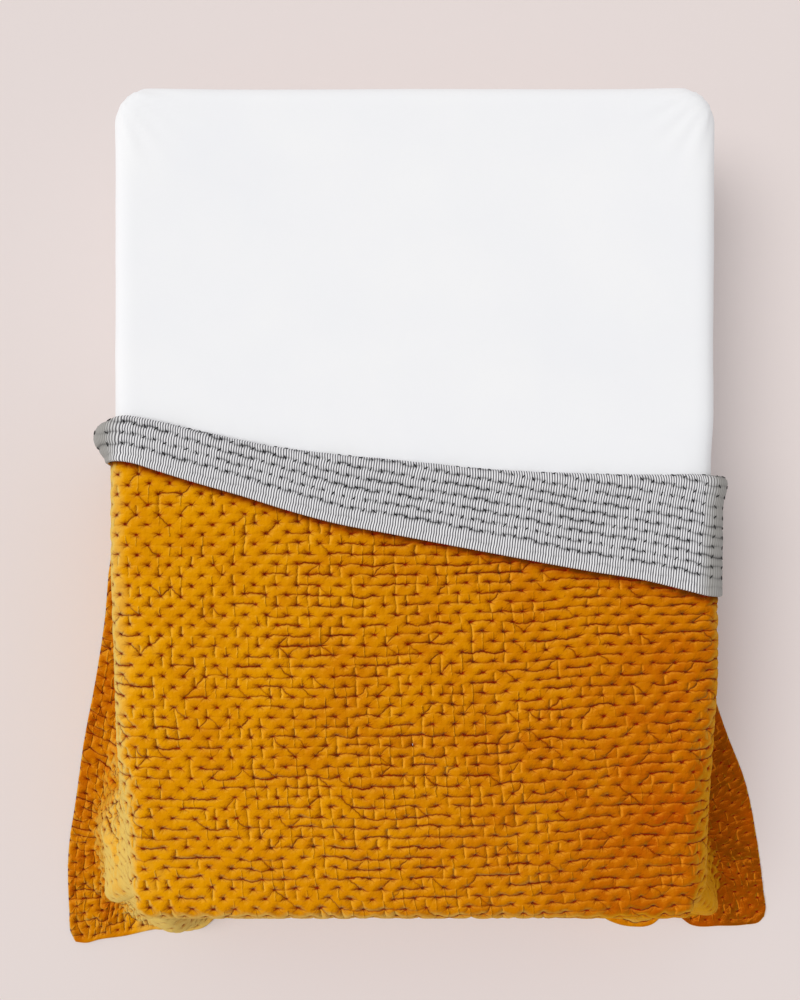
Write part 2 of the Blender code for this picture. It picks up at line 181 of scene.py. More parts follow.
@dataclass(frozen=True)
class MustardVelvet:
    """Cotton velvet, woven, cut and brushed, and quilted by hand.

    The eye gets a deep orange straight on, and a pale straw painted sheen where the cloth is steep and seen
    from the side, on the left edge, the steep left wall and low on the fall at the foot. Slopes that tip
    towards the head and the left get a painted highlight, and slopes that tip the other way a red brown
    painted shade, where the pile also closes; the creases and the pinches at the stitches get a dark painted
    shade, and the velvet just below the turned-back end a painted shadow. Of two colours, one is for pile
    that leans away from the head and one for pile that leans towards it; the lean also paints the light
    falling from the left.
    """

    pitch: StitchPitch
    # Colour pairs for pile that leans away from and towards the head: level; lit, a painted highlight; deep,
    # a painted shade; pale, a painted sheen
    level: tuple[str, str] = ("b85200", "ea9e00")
    lit: tuple[str, str] = ("ec8a18", "fdba30")
    deep: tuple[str, str] = ("784000", "ac5c00")
    pale: tuple[str, str] = ("da960e", "e6c468")
    # The dark painted shade in the creases and at the stitches' pinches, and the painted shadow below the
    # turned-back end
    crease: str = "961600"
    band_shadow_colour: str = "5e2a00"
    # Slopes that tip to this side, towards the head and the left where the light comes from, get a painted
    # highlight, and slopes that tip away a painted shade
    nap_and_light_side: tuple[float, float, float] = (-0.65, 0.76, 0.0)

    # How the colour is read: by the pile's lean, which also paints light; by the way the cloth tips, for
    # painted highlight and painted shade; and by how steeply it is seen, for a painted sheen
    sided: Ramp = Ramp(0.15, 1.10)
    shaded: Ramp = Ramp(0.0, -0.5)
    # Past a nap of 1 the velvet takes a painted sheen
    brushed: Ramp = Ramp(1.0, 2.0, last=0.90)
    shaded_slope: Ramp = Ramp(-0.08, -0.62, last=0.85)
    lit_slope: Ramp = Ramp(0.18, 0.62, last=0.95)
    grazing_sheen: Ramp = Ramp(0.56, 1.30, last=0.95)
    smoothed: Ramp = Ramp(0.0, 1.0, first=1.0, last=0.40)
    crease_shade_tint: tuple[float, float] = (1.6, 0.96)
    rim_highlight_tint: tuple[float, float] = (1.45, 0.95)
    band_shadow_tint: float = 0.85
    sheen: float = 0.05
    sheen_tint: str = "fff0b0"
    roughness: float = 0.9

    # The pile's own unevenness and how deep it and the creases look
    pile: float = 1.1 * MM
    pile_share: float = 0.10
    crush: float = 16 * MM
    crush_share: float = 0.9
    crease_share: float = 0.6
    depth: float = 3.6 * MM

    # The pinch at a stitch, its short diagonal arms, and the lines between stitches
    wander: float = 12 * MM
    bend: tuple[float, float, float] = (0.28, 0.34, 0.0)
    oval: tuple[float, float, float] = (0.72, 1.20, 0.0)
    core: Line = Line(2.3 * MM, 1.45)
    arm: Line = Line(1.5 * MM, 1.1)
    arm_slope: float = 0.55
    arm_reach: float = 5.6 * MM
    row_line: Line = Line(1.8 * MM, 1.0)
    slant_line: Line = Line(1.4 * MM, 0.6)
    upright_width: float = 1.7 * MM
    ditch_width: float = 1.8
    ditch_share: float = 0.8
    # Painted highlights: a bright rim beside each crease, and a glint by each stitch
    rim_off: float = 2.6 * MM
    rim_width: float = 1.3 * MM
    glint_off: tuple[float, float] = (-1.6, 0.5)

    def make(self) -> bpy.types.Material:
        """Builds the velvet.

        Returns:
            The material.
        """
        s = ClothShader("mustard_cotton_velvet")
        place = s.add("TexCoord", out="Object")
        crease, ditch, rim = self.creases(s, place)
        crush = s.add("TexNoise", named={"Vector": place, "Scale": 1 / self.crush, "Detail": 3.0})
        fibre = s.add("TexNoise", named={"Vector": place, "Scale": 1 / self.pile, "Detail": 2.0})
        crushed = s.add("Math", crush, self.crush_share, operation="MULTIPLY")
        raised = s.add("Math", fibre, self.pile_share, crushed, operation="MULTIPLY_ADD")
        sunk = s.add("Math", crease, self.crease_share, ditch, operation="MULTIPLY_ADD")
        relief = s.add("Math", raised, sunk, operation="SUBTRACT")
        normal = s.add("Bump", named={"Height": relief, "Distance": self.depth, "Strength": 1.0})

        # The nap also carries painted light, and the second layer holds the painted shadow below the
        # turned-back end
        nap, band_shadow = (s.add("Attribute", out="Fac", attribute_name=name) for name in ("nap", "band_shadow"))
        sided = s.add("MapRange", nap, *self.sided)
        tones = ((nap, self.level), (nap, self.lit), (nap, self.deep), (sided, self.pale))
        level, lit, deep, pale = (
            s.add("Mix", lean, named={6: linear(away), 7: linear(towards)}, out=2, data_type="RGBA")
            for lean, (away, towards) in tones)
        # How far each slope tips towards the head and the left, for painted highlight and painted shade
        tip = s.add("VectorMath", normal, self.nap_and_light_side, out="Value", operation="DOT_PRODUCT")
        # Painted sheen: paler where the cloth is seen steeply, and past a nap of 1
        steep = s.add("Math", s.add("LayerWeight", 0.5, normal, out="Facing"),
                      s.add("LayerWeight", 0.5, out="Facing"), operation="ADD")
        shaded, brushed = (s.add("MapRange", nap, *ramp) for ramp in (self.shaded, self.brushed))
        shaded_slope, lit_slope = (s.add("MapRange", tip, *ramp) for ramp in (self.shaded_slope, self.lit_slope))
        grazing_sheen = s.add("Math", s.add("MapRange", steep, *self.grazing_sheen), brushed, operation="MAXIMUM")
        # The painted highlight on the rims, and the dark painted shade in the creases and pinches
        rim_highlight, dark = (
            s.add("Math", s.add("Math", share, gain, operation="MULTIPLY"), most, operation="MINIMUM")
            for share, (gain, most) in ((rim, self.rim_highlight_tint), (crease, self.crease_shade_tint)))
        # The painted shadow below the turned-back end
        band_shadow_share = s.add("Math", band_shadow, self.band_shadow_tint, operation="MULTIPLY")
        # The base colour, then painted shade, painted highlights, painted sheen, the painted shadow below the
        # turned-back end and the dark painted shade in the creases
        body = level
        for share, tint in ((shaded, deep), (shaded_slope, deep), (lit_slope, lit), (rim_highlight, lit), (grazing_sheen, pale),
                            (band_shadow_share, linear(self.band_shadow_colour)), (dark, linear(self.crease))):
            body = s.add("Mix", share, named={6: body, 7: tint}, out=2, data_type="RGBA")
        return s.finish(Base_Color=body, Normal=normal, Roughness=self.roughness, Specular_IOR_Level=0.03,
                        Sheen_Weight=self.sheen, Sheen_Roughness=0.3, Sheen_Tint=linear(self.sheen_tint))

    def creases(self, s: ClothShader, place: bpy.types.NodeSocket) -> tuple[Any, Any, Any]:
        """Draws the pinches at the stitches and the creases that run between them.

        Args:
            s: the tree.
            place: the place in the room.

        Returns:
            How dark the painted shade in the creases and pinches is, from 0 to 1, the wider ditches round
            them, negative for a ridge, and how strong the painted highlight is: a rim on the side of each
            crease that tips towards the head or the left, and a glint by each stitch.
        """
        row_crease, row_bow, slant_crease, slant_bow, upright, calm = (
            s.add("Attribute", out="Fac", attribute_name=name)
            for name in ("row_crease", "row_bow", "slant_crease", "slant_bow", "upright_crease", "calm"))
        wander = s.add("TexNoise", named={"Vector": place, "Scale": 1 / self.wander, "Detail": 2.0},
                       out="Color")
        centred = s.add("VectorMath", wander, (0.5, 0.5, 0.5), operation="SUBTRACT")
        grid = s.add("UVMap", uv_map="stitch_grid")
        bent = s.add("VectorMath", centred, self.bend, grid, operation="MULTIPLY_ADD")
        column, row = (s.add("SeparateXYZ", bent, out=axis) for axis in ("X", "Y"))
        near_column, near_row = (s.add("Math", at, operation="ROUND") for at in (column, row))
        off_row = s.add("Math", row, near_row, operation="SUBTRACT")
        rightward = s.add("Math", s.add("Math", column, near_column, operation="SUBTRACT"), self.pitch.half,
                          operation="MULTIPLY")
        upward = s.add("Math", off_row, self.pitch.row, operation="MULTIPLY")
        across, up = (s.add("Math", off, operation="ABSOLUTE") for off in (rightward, upward))

        odd = s.add("Math", s.add("Math", near_column, near_row, operation="ADD"), 2.0,
                    operation="FLOORED_MODULO")
        stitched = s.add("Math", s.add("Math", 1.0, odd, operation="SUBTRACT"),
                         s.add("MapRange", calm, *self.smoothed), operation="MULTIPLY")
        oval = s.add("VectorMath", s.add("CombineXYZ", across, up), self.oval, operation="MULTIPLY")
        far = s.add("VectorMath", oval, out="Value", operation="LENGTH")
        arm = s.add("Math", s.add("Math", across, self.arm_slope, operation="MULTIPLY"), up,
                    operation="SUBTRACT")
        arm = s.add("Math", arm, operation="ABSOLUTE")
        cross = s.add("Math", self.fade(s, arm, self.arm.width), self.fade(s, far, self.arm_reach),
                      operation="MULTIPLY")
        cross = s.add("Math", cross, self.arm.tint, operation="MULTIPLY")
        core = s.add("Math", self.fade(s, far, self.core.width), self.core.tint, operation="MULTIPLY")
        pinch = s.add("Math", core, cross, operation="MAXIMUM")
        crease = s.add("Math", pinch, stitched, operation="MULTIPLY")

        left, low = (s.add("Math", at, operation="FRACT") for at in (column, row))
        cell = s.add("Math", s.add("Math", column, operation="FLOOR"), s.add("Math", row, operation="FLOOR"),
                     operation="ADD")
        leaning = s.add("Math", cell, 2.0, operation="FLOORED_MODULO")
        high = s.add("Math", 1.0, low, operation="SUBTRACT")
        turned = s.add("Mix", leaning, named={2: low, 3: high}, data_type="FLOAT")
        half_way = s.add("Math", s.add("Math", left, turned, operation="ADD"), math.pi / 2,
                         operation="MULTIPLY")
        bow = s.add("Math", s.add("Math", half_way, operation="SINE"), slant_bow, operation="MULTIPLY")
        slant = s.add("Math", s.add("Math", left, turned, operation="SUBTRACT"), bow, operation="SUBTRACT")
        slant = s.add("Math", s.add("Math", slant, operation="ABSOLUTE"), self.pitch.slant,
                      operation="MULTIPLY")

        shift = s.add("Math", near_row, 2.0, operation="FLOORED_MODULO")
        along = s.add("Math", s.add("Math", column, shift, operation="SUBTRACT"), math.pi / 2,
                      operation="MULTIPLY")
        wave = s.add("Math", s.add("Math", along, operation="SINE"), operation="ABSOLUTE")
        bow = s.add("Math", wave, row_bow, operation="MULTIPLY")
        row_up = s.add("Math", s.add("Math", off_row, bow, operation="SUBTRACT"), self.pitch.row,
                       operation="MULTIPLY")
        row_off = s.add("Math", row_up, operation="ABSOLUTE")

        ditch = s.add("Math", self.fade(s, across, self.upright_width), upright, operation="MULTIPLY")
        for strength, distance, line in ((row_crease, row_off, self.row_line),
                                         (slant_crease, slant, self.slant_line)):
            thin = s.add("Math", self.fade(s, distance, line.width), line.tint, operation="MULTIPLY")
            thin = s.add("Math", thin, strength, operation="MULTIPLY")
            crease = s.add("Math", crease, thin, operation="MAXIMUM")
            wide = s.add("Math", self.fade(s, distance, self.ditch_width * line.width), strength,
                         operation="MULTIPLY")
            ditch = s.add("Math", wide, self.ditch_share, ditch, operation="MULTIPLY_ADD")

        # Painted highlight: a rim below each row crease and beside each upright one, and a glint by each
        # stitch
        below = s.add("Math", s.add("Math", row_up, self.rim_off, operation="ADD"), operation="ABSOLUTE")
        beside = s.add("Math", s.add("Math", rightward, self.rim_off, operation="SUBTRACT"),
                       operation="ABSOLUTE")
        glint_off = tuple(share * self.rim_off for share in self.glint_off) + (0.0,)
        glint = s.add("VectorMath", s.add("CombineXYZ", rightward, upward), glint_off, operation="ADD")
        glint = s.add("VectorMath", glint, out="Value", operation="LENGTH")
        rim, side_rim, glint = (
            s.add("Math", self.fade(s, distance, self.rim_width), strength, operation="MULTIPLY")
            for distance, strength in ((below, row_crease), (beside, upright), (glint, stitched)))
        rim = s.add("Math", s.add("Math", rim, side_rim, operation="MAXIMUM"), glint, operation="MAXIMUM")
        return crease, ditch, rim

    def fade(self, s: ClothShader, distance: bpy.types.NodeSocket, width: float) -> bpy.types.NodeSocket:
        """How strong a crease is at a distance from it, from 1 on it."""
        return s.add("Math", s.add("Math", distance, -1 / width, operation="MULTIPLY"), operation="EXPONENT")


@dataclass(frozen=True)
class StripedCotton:
    """Plain woven cotton with fine dark stripes along the quilt, washed and quilted by hand.

    The eye gets crisp narrow stripes that bend with each rib of the quilting, a dark painted shade in the
    valleys along the rows of stitches, a darker plain grey painted over the stripes where the cloth turns
    down, standing in for the shade and the edge-on blur there, and a matt surface.
    """

    pitch: StitchPitch
    light: str = "ffffff"
    grey: str = "f4f3f4"
    dark: str = "5e5c62"
    valley_shade: str = "1f1d20"
    # A darker plain grey painted over the stripes where the cloth turns down: painted shade, with the
    # stripes' edge-on blur
    turned_down: str = "9b9892"
    turns_down: Ramp = Ramp(0.655, 0.690, last=0.85)
    stripe: float = 5.8 * MM
    stripe_edge: Ramp = Ramp(-0.52, 0.28, first=1.0, last=0.0)
    scallop: float = 0.10
    valley_width: float = 2.5 * MM
    valley_tint: float = 0.9
    cloud: float = 25 * MM
    thread: float = 0.9 * MM
    thread_share: float = 0.12
    depth: float = 1.2 * MM
    roughness: float = 0.9

    def make(self) -> bpy.types.Material:
        """Builds the striped cotton.

        Returns:
            The material.
        """
        s = ClothShader("striped_woven_cotton")
        place = s.add("TexCoord", out="Object")
        across = s.add("SeparateXYZ", s.add("UVMap", uv_map="cloth"), out="X")
        turn = s.add("Math", across, 2 * math.pi / self.stripe, operation="MULTIPLY")
        band = s.add("MapRange", s.add("Math", turn, operation="COSINE"), *self.stripe_edge)
        tone = s.add("TexNoise", named={"Vector": place, "Scale": 1 / self.cloud, "Detail": 3.0})
        plain = s.add("MapRange", s.add("Math", across, operation="ABSOLUTE"), *self.turns_down)

        grid = s.add("UVMap", uv_map="stitch_grid")
        column, row = (s.add("SeparateXYZ", grid, out=axis) for axis in ("X", "Y"))
        near_row = s.add("Math", row, operation="ROUND")
        turn = s.add("Math", s.add("Math", column, near_row, operation="ADD"), math.pi, operation="MULTIPLY")
        line = s.add("Math", s.add("Math", turn, operation="SINE"), self.scallop, near_row,
                     operation="MULTIPLY_ADD")
        off_row = s.add("Math", s.add("Math", row, line, operation="SUBTRACT"), operation="ABSOLUTE")
        up = s.add("Math", off_row, -self.pitch.row / self.valley_width, operation="MULTIPLY")
        strength = s.add("Attribute", out="Fac", attribute_name="row_crease")
        crease = s.add("Math", s.add("Math", up, operation="EXPONENT"), strength, operation="MULTIPLY")
        # Painted shade in the valleys along the rows
        dark = s.add("Math", crease, self.valley_tint, operation="MINIMUM")
        colour = linear(self.grey)
        for share, tint in ((tone, self.light), (band, self.dark), (plain, self.turned_down),
                            (dark, self.valley_shade)):
            colour = s.add("Mix", share, named={6: colour, 7: linear(tint)}, out=2, data_type="RGBA")

        weave = s.add("TexNoise", named={"Vector": place, "Scale": 1 / self.thread, "Detail": 1.0})
        relief = s.add("Math", s.add("Math", weave, self.thread_share, operation="MULTIPLY"), crease,
                       operation="SUBTRACT")
        normal = s.add("Bump", named={"Height": relief, "Distance": self.depth, "Strength": 0.8})
        return s.finish(Base_Color=colour, Normal=normal, Roughness=self.roughness, Specular_IOR_Level=0.15,
                        Sheen_Weight=0.08)


@dataclass(frozen=True)
class PlainCloth:
    """A plain woven cloth: percale sheeting, or the tighter cloth on the base.

    The eye gets a matt, even cloth with a faint weave and a tone that wanders a little over it.
    """

    name: str
    light: str
    shade: str
    thread: float
    weave_depth: float
    cloud: float = 0.22
    roughness: float = 0.85
    sheen: float = 0.1

    def make(self) -> bpy.types.Material:
        """Builds the cloth.

        Returns:
            The material.
        """
        s = ClothShader(self.name)
        place = s.add("TexCoord", out="Object")
        tone = s.add("TexNoise", named={"Vector": place, "Scale": 1 / self.cloud, "Detail": 3.0})
        tones = {6: linear(self.shade), 7: linear(self.light)}
        colour = s.add("Mix", tone, named=tones, out=2, data_type="RGBA")
        turn = 2 * math.pi / self.thread
        threads = s.add("VectorMath", place, (turn, turn, turn), operation="MULTIPLY")
        across, along, up = (s.add("SeparateXYZ", threads, out=axis) for axis in ("X", "Y", "Z"))
        down = s.add("Math", along, up, operation="ADD")
        weave = s.add("Math", s.add("Math", across, operation="SINE"), s.add("Math", down, operation="SINE"),
                      operation="MULTIPLY")
        normal = s.add("Bump", named={"Height": weave, "Distance": self.weave_depth, "Strength": 0.5})
        return s.finish(Base_Color=colour, Normal=normal, Roughness=self.roughness, Specular_IOR_Level=0.2,
                        Sheen_Weight=self.sheen)


@dataclass(frozen=True)
class SewingThread:
    """Cotton sewing thread, twisted and slightly waxed: a short soft gleam along each stitch."""

    name: str
    colour: str
    twist: float = 1.2 * MM

    def make(self) -> bpy.types.Material:
        """Builds the thread.

        Returns:
            The material.
        """
        s = ClothShader(self.name)
        place = s.add("TexCoord", out="Object")
        scale = 1 / self.twist / WAVE_SCALE
        ply = s.add("TexWave", named={"Vector": place, "Scale": scale, "Distortion": 1.5}, out="Fac",
                    bands_direction="DIAGONAL")
        normal = s.add("Bump", named={"Height": ply, "Distance": 0.2 * MM, "Strength": 0.6})
        return s.finish(Base_Color=linear(self.colour), Normal=normal, Roughness=0.6, Specular_IOR_Level=0.3)


@dataclass(frozen=True)
class StudioFloor:
    """A plain pale matt floor, painted in one warm tone."""

    colour: str = "ebe0dd"

    def make(self) -> bpy.types.Material:
        """Builds the floor's paint."""
        s = ClothShader("pale_matt_floor_paint")
        return s.finish(Base_Color=linear(self.colour), Roughness=0.95, Specular_IOR_Level=0.1)


# ---------------------------------------------------------------- the drape


class Hem(NamedTuple):
    """A place on the hem. along: place on the flat hem, from the middle of the foot. knee: the fall's reach.

    lean: from 0 for a fall that starts upright to 1 for one that slants all the way down.
    """

    along: float
    x: float
    y: float
    knee: float
    lean: float


class Swell(NamedTuple):
    """A swell in the fall. along and height say where, width and tallness how big, out how far it stands."""

    along: float
    width: float
    height: float
    tallness: float
    out: float


class Turn(NamedTuple):
    """The turned-back head end at one place across the quilt."""

    across: float
    fold: float
    band: float
    lean: float


class Crease(NamedTuple):
    """A long soft crease, from one flat place to another. rise is negative for a trough.

    CREASES are in the velvet on the bed, and DROP_FOLDS go through the whole quilt where it falls.
    """

    across: float
    length: float
    to_across: float
    to_length: float
    width: float
    rise: float


LEFT_CORNER = Hem(-1.170, -0.905, -1.188, 0.217, 0.70)
RIGHT_CORNER = Hem(1.170, 0.946, -1.120, 0.200, 0.50)
LEFT_HEM = (
    Hem(-2.985, -0.785, 0.450, 0.070, 0.00),
    Hem(-2.735, -0.790, 0.200, 0.074, 0.00),
    Hem(-2.435, -0.798, -0.100, 0.070, 0.00),
    Hem(-2.361, -0.812, -0.162, 0.068, 0.00),
    Hem(-2.174, -0.828, -0.324, 0.075, 0.00),
    Hem(-1.970, -0.855, -0.499, 0.092, 0.10),
    Hem(-1.800, -0.882, -0.640, 0.148, 0.60),
    Hem(-1.610, -0.906, -0.809, 0.163, 0.90),
    Hem(-1.452, -0.925, -0.944, 0.168, 1.00),
    Hem(-1.265, -0.923, -1.108, 0.200, 0.80),
    Hem(-1.205, -0.919, -1.164, 0.215, 0.70),
    LEFT_CORNER,
)
FOOT_HEM_LINE = (
    LEFT_CORNER,
    Hem(-1.135, -0.880, -1.191, 0.214, 0.70),
    Hem(-1.073, -0.842, -1.182, 0.210, 0.70),
    Hem(-0.985, -0.777, -1.173, 0.212, 0.80),
    Hem(-0.862, -0.688, -1.154, 0.216, 0.90),
    Hem(-0.697, -0.562, -1.150, 0.204, 0.90),
    Hem(-0.600, -0.512, -1.108, 0.150, 0.60),
    Hem(-0.480, -0.430, -1.062, 0.095, 0.30),
    Hem(-0.280, -0.270, -1.024, 0.064, 0.00),
    Hem(0.000, 0.000, -1.010, 0.056, 0.00),
    Hem(0.280, 0.275, -1.024, 0.064, 0.00),
    Hem(0.480, 0.440, -1.070, 0.100, 0.30),
    Hem(0.600, 0.530, -1.132, 0.175, 0.80),
    Hem(0.690, 0.590, -1.147, 0.194, 0.90),
    Hem(0.770, 0.645, -1.141, 0.190, 0.80),
    Hem(0.835, 0.692, -1.106, 0.165, 0.75),
    Hem(0.907, 0.749, -1.142, 0.205, 0.85),
    Hem(1.007, 0.830, -1.145, 0.215, 0.90),
    Hem(1.100, 0.895, -1.142, 0.205, 0.90),
    Hem(1.140, 0.930, -1.136, 0.202, 0.80),
    RIGHT_CORNER,
)
RIGHT_HEM = (
    RIGHT_CORNER,
    Hem(1.200, 0.951, -1.097, 0.190, 0.50),
    Hem(1.240, 0.947, -1.066, 0.175, 0.50),
    Hem(1.425, 0.928, -0.917, 0.130, 0.30),
    Hem(1.620, 0.895, -0.755, 0.112, 0.10),
    Hem(1.790, 0.842, -0.615, 0.100, 0.00),
    Hem(1.935, 0.806, -0.500, 0.086, 0.00),
    Hem(2.190, 0.792, -0.300, 0.074, 0.00),
    Hem(2.435, 0.785, -0.100, 0.070, 0.00),
    Hem(2.985, 0.780, 0.450, 0.070, 0.00),
)
SWELLS = (
    Swell(-1.230, 0.110, 0.42, 0.20, 0.035),
    Swell(-0.760, 0.110, 0.58, 0.24, 0.036),
    Swell(-1.640, 0.080, 0.62, 0.22, 0.018),
    Swell(-1.900, 0.090, 0.50, 0.25, -0.014),
    Swell(1.035, 0.105, 0.50, 0.24, 0.040),
    Swell(0.640, 0.080, 0.62, 0.26, 0.026),
    Swell(1.500, 0.120, 0.50, 0.25, -0.012),
)
TURNS = (
    Turn(-1.170, 0.120, 0.050, 0.00),
    Turn(-0.740, 0.130, 0.054, 0.00),
    Turn(-0.700, 0.143, 0.060, 0.04),
    Turn(-0.660, 0.171, 0.084, 0.12),
    Turn(-0.615, 0.169, 0.088, 0.14),
    Turn(-0.570, 0.160, 0.093, 0.16),
    Turn(-0.478, 0.139, 0.100, 0.19),
    Turn(-0.366, 0.114, 0.107, 0.19),
    Turn(-0.255, 0.096, 0.123, 0.19),
    Turn(-0.144, 0.084, 0.140, 0.19),
    Turn(-0.033, 0.073, 0.150, 0.18),
    Turn(0.189, 0.052, 0.171, 0.14),
    Turn(0.412, 0.043, 0.203, 0.11),
    Turn(0.534, 0.041, 0.221, 0.10),
    Turn(0.628, 0.042, 0.245, 0.09),
    Turn(0.674, 0.040, 0.256, 0.05),
    Turn(0.730, 0.034, 0.256, 0.00),
    Turn(1.170, 0.020, 0.264, 0.00),
)
CREASES = (
    Crease(-0.20, -0.44, -0.10, -0.30, 0.012, 0.0030),
    Crease(-0.24, -0.50, -0.16, -0.56, 0.014, -0.0030),
    Crease(-0.05, -0.48, 0.08, -0.66, 0.014, -0.0035),
    Crease(-0.02, -0.46, 0.11, -0.64, 0.012, 0.0030),
    Crease(-0.30, -0.62, -0.16, -0.76, 0.014, 0.0025),
    Crease(0.30, -0.30, 0.46, -0.42, 0.014, 0.0028),
    Crease(0.40, -0.24, 0.52, -0.30, 0.013, -0.0030),
    Crease(0.12, -0.84, 0.40, -0.80, 0.016, 0.0028),
    Crease(0.44, -0.76, 0.60, -0.86, 0.014, -0.0028),
    Crease(-0.46, -0.10, -0.36, -0.20, 0.014, 0.0025),
)
DROP_FOLDS = (
    Crease(-1.140, -0.800, -0.935, -0.775, 0.012, -0.0100),
    Crease(-0.965, -0.765, -0.850, -0.835, 0.010, -0.0095),
    Crease(-0.868, -0.815, -0.822, -0.940, 0.009, -0.0070),
    Crease(-0.990, -0.815, -0.900, -0.935, 0.018, 0.0070),
    Crease(-0.950, -0.930, -0.900, -1.080, 0.014, -0.0050),
    Crease(-1.010, -0.960, -0.960, -1.120, 0.014, 0.0060),
)


CREASE_BEND = 12 * MM
CREASE_WAVES = 9
CREASE_END = 0.25


def column(table: Sequence[NamedTuple], name: str) -> Array:
    """One named column of a table, as an array."""
    return np.array([getattr(row, name) for row in table])


def smooth(table: Sequence[NamedTuple], knots: str, name: str, at: Array) -> Array:
    """A smooth curve through a table's rows, straight past its ends.

    Args:
        table: the rows, in the order of their knots.
        knots: the column that the places are read along.
        name: the column that is read.
        at: where to read it.

    Returns:
        The column's value at each place.
    """
    place = column(table, knots)
    value = column(table, name)
    slope = np.gradient(value, place)
    i = np.clip(np.searchsorted(place, at) - 1, 0, len(place) - 2)
    span = place[i + 1] - place[i]
    t = np.clip((at - place[i]) / span, 0, 1)
    rise = value[i] * (1 + 2 * t) * (1 - t) ** 2 + value[i + 1] * t * t * (3 - 2 * t)
    bend = span * (slope[i] * t * (1 - t) ** 2 - slope[i + 1] * t * t * (1 - t))
    past = np.minimum(at - place[0], 0) * slope[0] + np.maximum(at - place[-1], 0) * slope[-1]
    return rise + bend + past


def ease(t: Array) -> Array:
    """A soft step from 0 to 1."""
    t = np.clip(t, 0, 1)
    return t * t * (3 - 2 * t)


def onset(at: Array, start: float, run: float) -> Array:
    """A soft step from 0 at the start to 1 past the run; the classes below hold the two as a pair."""
    return ease((at - start) / run)


def soft_creases(table: Sequence[Crease], a: Array, b: Array) -> Array:
    """The height that the listed creases give the cloth at flat places."""
    height = np.zeros(np.shape(a))
    for crease in table:
        along = np.array([crease.to_across - crease.across, crease.to_length - crease.length])
        length = np.hypot(*along)
        along /= length
        x, y = a - crease.across, b - crease.length
        t = (x * along[0] + y * along[1]) / length
        off = x * along[1] - y * along[0]
        bend = CREASE_BEND * np.sin(t * CREASE_WAVES)
        ends = ease(t / CREASE_END) * ease((1 - t) / CREASE_END)
        height += crease.rise * np.exp(-((off + bend) / crease.width) ** 2) * ends
    return height


@dataclass(frozen=True)
class Fall:
    """The curve of the fall from the bed's edge to the floor.

    Its hold is how far out its lower half is held, from a share of how far out it meets the floor.
    """

    hold_least: float = 0.10
    hold_most: float = 0.45
    hold_rise: float = 2.4
    hold_knee: float = 0.06
    lean_hold: float = 0.74
    lean_start: float = 0.33
    drop_share: float = 0.36
    lean_drop: float = 0.26
    lean_foot: float = 0.05
    swell_start: float = 0.3
    swell_end: float = 0.2
    steps: int = 14

    def point(self, u: Array, knee: Array, lean: Array, height: float) -> tuple[Array, Array]:
        """A point of the fall.

        Args:
            u: how far down the fall, from 0 to 1.
            knee: how far out the fall meets the floor.
            lean: how far it leans out on its way.
            height: how high the fall starts.

        Returns:
            How far out and how far up the point is.
        """
        hold = knee * np.clip(self.hold_least + self.hold_rise * (knee - self.hold_knee),
                              self.hold_least, self.hold_most)
        hold = hold + (self.lean_hold * knee - hold) * lean
        early = 3 * (1 - u) ** 2 * u
        late = 3 * (1 - u) * u * u
        out = early * self.lean_start * knee * lean + late * hold + u ** 3 * knee
        drop = self.drop_share + self.lean_drop * lean
        up = height * ((1 - u) ** 3 + early * drop + late * self.lean_foot * lean)
        return out, up

    def path(self, knee: Array, lean: Array, height: float) -> Array:
        """The lengths of cloth from the bed's edge to even steps down each fall, one row for each fall."""
        even = np.linspace(0, 1, self.steps + 1)[None, :]
        outs, ups = self.point(even, knee.reshape(-1, 1), lean.reshape(-1, 1), height)
        pieces = np.hypot(np.diff(outs, axis=1), np.diff(ups, axis=1))
        return np.concatenate([np.zeros((len(pieces), 1)), np.cumsum(pieces, axis=1)], axis=1)

    def down(self, path: Array, gone: Array) -> Array:
        """How far down its fall each place is, from 0 to 1, from the length of cloth that leads to it."""
        even = np.linspace(0, 1, self.steps + 1)
        i = np.clip((path <= gone.reshape(-1, 1)).sum(axis=1) - 1, 0, self.steps - 1)
        row = np.arange(len(i))
        piece = np.maximum(path[row, i + 1] - path[row, i], TINY)
        part = np.clip((gone.reshape(-1) - path[row, i]) / piece, 0, 1)
        return (even[i] + part / self.steps).reshape(gone.shape)

    def swell(self, along: Array, u: Array) -> Array:
        """How far the swells stand out at places along the hem and down the fall."""
        out = 0.0
        for swell in SWELLS:
            near = np.exp(-((along - swell.along) / swell.width) ** 2)
            level = np.exp(-((u - swell.height) / swell.tallness) ** 2)
            ends = ease(u / self.swell_start) * ease((1 - u) / self.swell_end)
            out = out + swell.out * near * level * ends
        return out


